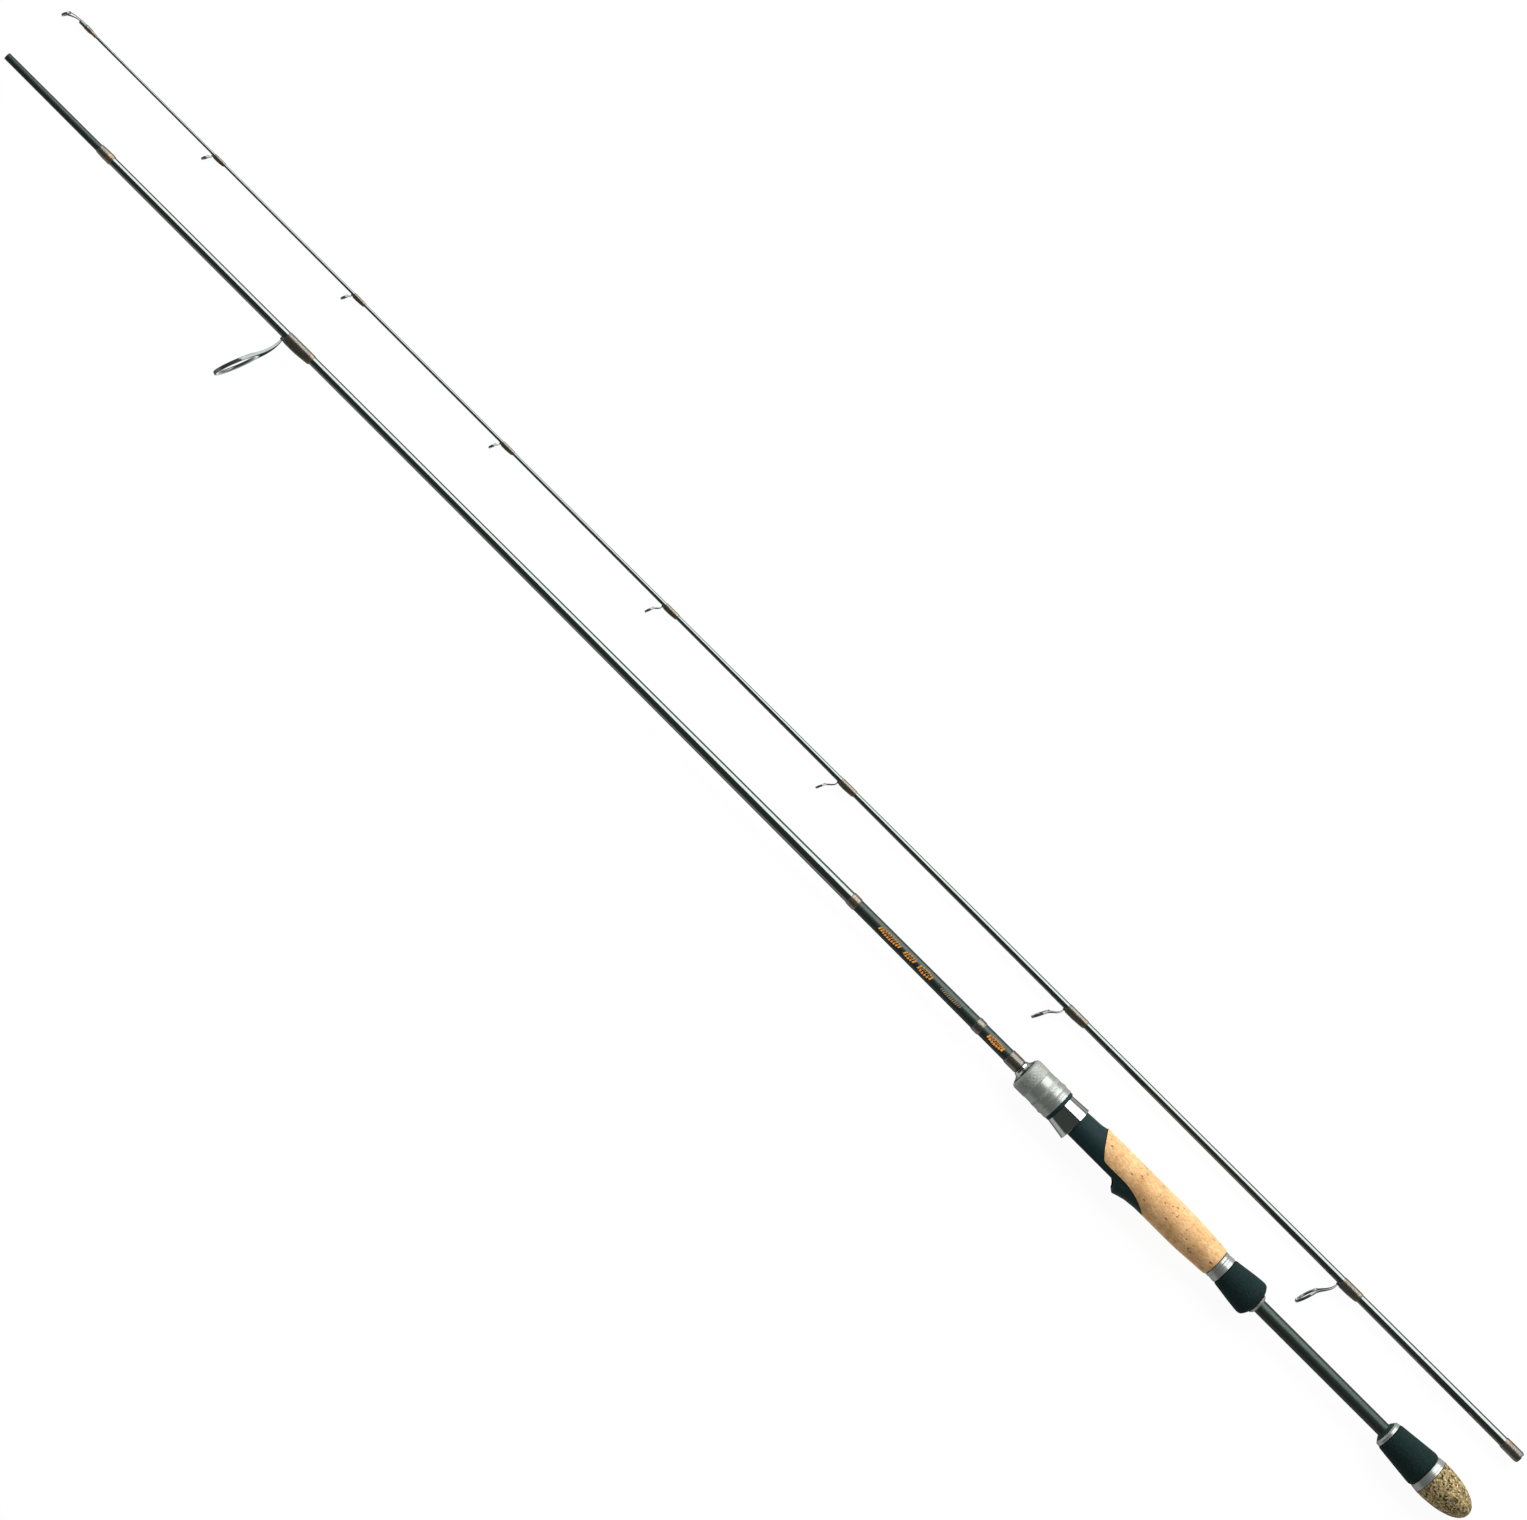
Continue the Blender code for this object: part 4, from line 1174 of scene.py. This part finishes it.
def patch(name, outlines, look):
    """Thin paint on the lower blank: each outline is a list of (station, distance round)."""
    points, faces = [], []
    for outline in outlines:
        faces.append(list(range(len(points), len(points) + len(outline))))
        for x, around in outline:
            radius = between(BLANKS["butt_section"], x) + PAINT_LIFT
            angle = math.pi / 2 + around / radius
            points.append((x, -radius * math.cos(angle), radius * math.sin(angle)))
    obj = new_object(name, points, faces)
    thick = obj.modifiers.new("thickness", "SOLIDIFY")
    thick.thickness = PAINT_THICKNESS * MM
    thick.offset = -1
    combined(obj, "UNION", [])
    finish_piece(obj, ["butt_blank"], [look])


def dashes(first, last, count, height, slant, fill=0.6):
    """A row of slanted strokes whose heights swell toward the middle of the row."""
    pitch = (last - first) / count
    strokes = []
    for i in range(count):
        x = first + i * pitch
        tall = height * (0.55 + 0.45 * math.sin(math.pi * (i + 0.5) / count))
        low, high = [], []
        for t in np.linspace(-0.5, 0.5, 9):
            low.append((x + slant * t, tall * t))
            high.append((x + slant * t + fill * pitch, tall * t))
        strokes.append(low + high[::-1])
    return strokes


def ornament():
    """Plain strokes and bars where the rod has its printed decoration."""
    long_row = dashes(706, 723, 10, 3.6, 1.1) + dashes(726, 735, 5, 3.6, 1.3)
    long_row += dashes(737.5, 748.5, 6, 4.2, 0.9)
    patch("ornament_long", long_row, "orange_paint")
    patch("ornament_short", dashes(755.5, 771.5, 12, 2.2, 0.7, 0.5), "brown_paint")
    patch("ornament_bars", dashes(793.5, 806, 7, 3.8, 0.6, 0.8), "orange_paint")


# -------- studio


def softbox(name, centre, size, radiance):
    """A rectangular light of even brightness, turned toward the rod."""
    width, height = size
    light = bpy.data.lights.new(name, "AREA")
    light.shape = "RECTANGLE"
    light.size, light.size_y = width, height
    light.energy = radiance * math.pi * width * height
    made = in_scene(name, light)
    made.location = centre
    made.rotation_euler = (-Vector(centre)).to_track_quat("-Z", "Y").to_euler()
    made.visible_camera = False
    return made


def floor():
    """A floor that glows almost white, so that shadows on it stay faint."""
    mesh = bpy.data.meshes.new("floor")
    reach = 12.0
    corners = [(-reach, -reach, 0), (reach, -reach, 0), (reach, reach, 0), (-reach, reach, 0)]
    mesh.from_pydata(corners, [], [(0, 1, 2, 3)])
    glow = {"Emission_Color": (1, 1, 1, 1), "Emission_Strength": 0.95}
    look = new_look("floor", (0.06, 0.06, 0.06), 0.9, Specular_IOR_Level=0.0, **glow)
    mesh.materials.append(look)
    made = in_scene("floor", mesh)


def world():
    """Dark overhead and pale toward the horizon, like a studio seen from a table top."""
    made = bpy.data.worlds.new("studio")
    made.use_nodes = True
    direction = add_node(made, "TexCoord").outputs["Generated"]
    height = add_node(made, "SeparateXYZ", {"Vector": direction}).outputs["Z"]
    shade = ramp(made, height, [(0.05, (0.8, 0.81, 0.8)), (0.36, (0.1, 0.11, 0.107))])
    tree = made.node_tree
    tree.links.new(shade, tree.nodes["Background"].inputs["Color"])
    bpy.context.scene.world = made


def camera():
    """Looks straight down on the two sections."""
    data = bpy.data.cameras.new("camera")
    data.sensor_width = 36
    data.lens = data.sensor_width * VIEW_DISTANCE / VIEW_WIDTH
    made = in_scene("camera", data)
    made.location = (*VIEW_CENTRE, VIEW_DISTANCE + AXIS_HEIGHT)
    made.rotation_euler = (0, 0, VIEW_TURN)
    bpy.context.scene.camera = made


def studio():
    floor()
    world()
    camera()
    softbox("key", (0, 1.2, 0.7), (2.2, 1.58), 6.0)
    # The fill lifts matt surfaces on the shaded side and adds no second highlight
    fill = softbox("fill", (0, -1.2, 0.9), (2.2, 1.2), 0.75)
    fill.visible_glossy = False
    bpy.context.scene.view_settings.view_transform = "Standard"


# -------- the rod


def main():
    all_looks()
    blanks()
    trim_wrap("spigot_wrap", bands=[(81.2, 84.2)])
    trim_wrap("upper_trim_wrap", bands=[(682.6, 683.6), (686.4, 687.4)])
    trim_wrap("lower_trim_wrap", ["dark_thread"])
    trim_wrap("seat_wrap", ["dark_thread"])
    trim_wrap("socket_wrap", bands=[(1166.8, 1168.0)])
    for number in range(1, 9):
        guide(f"guide_{number}")
    tip_top()
    reel_seat()
    moving_hood()
    lock_nut()
    grips()
    ornament()
    studio()


main()
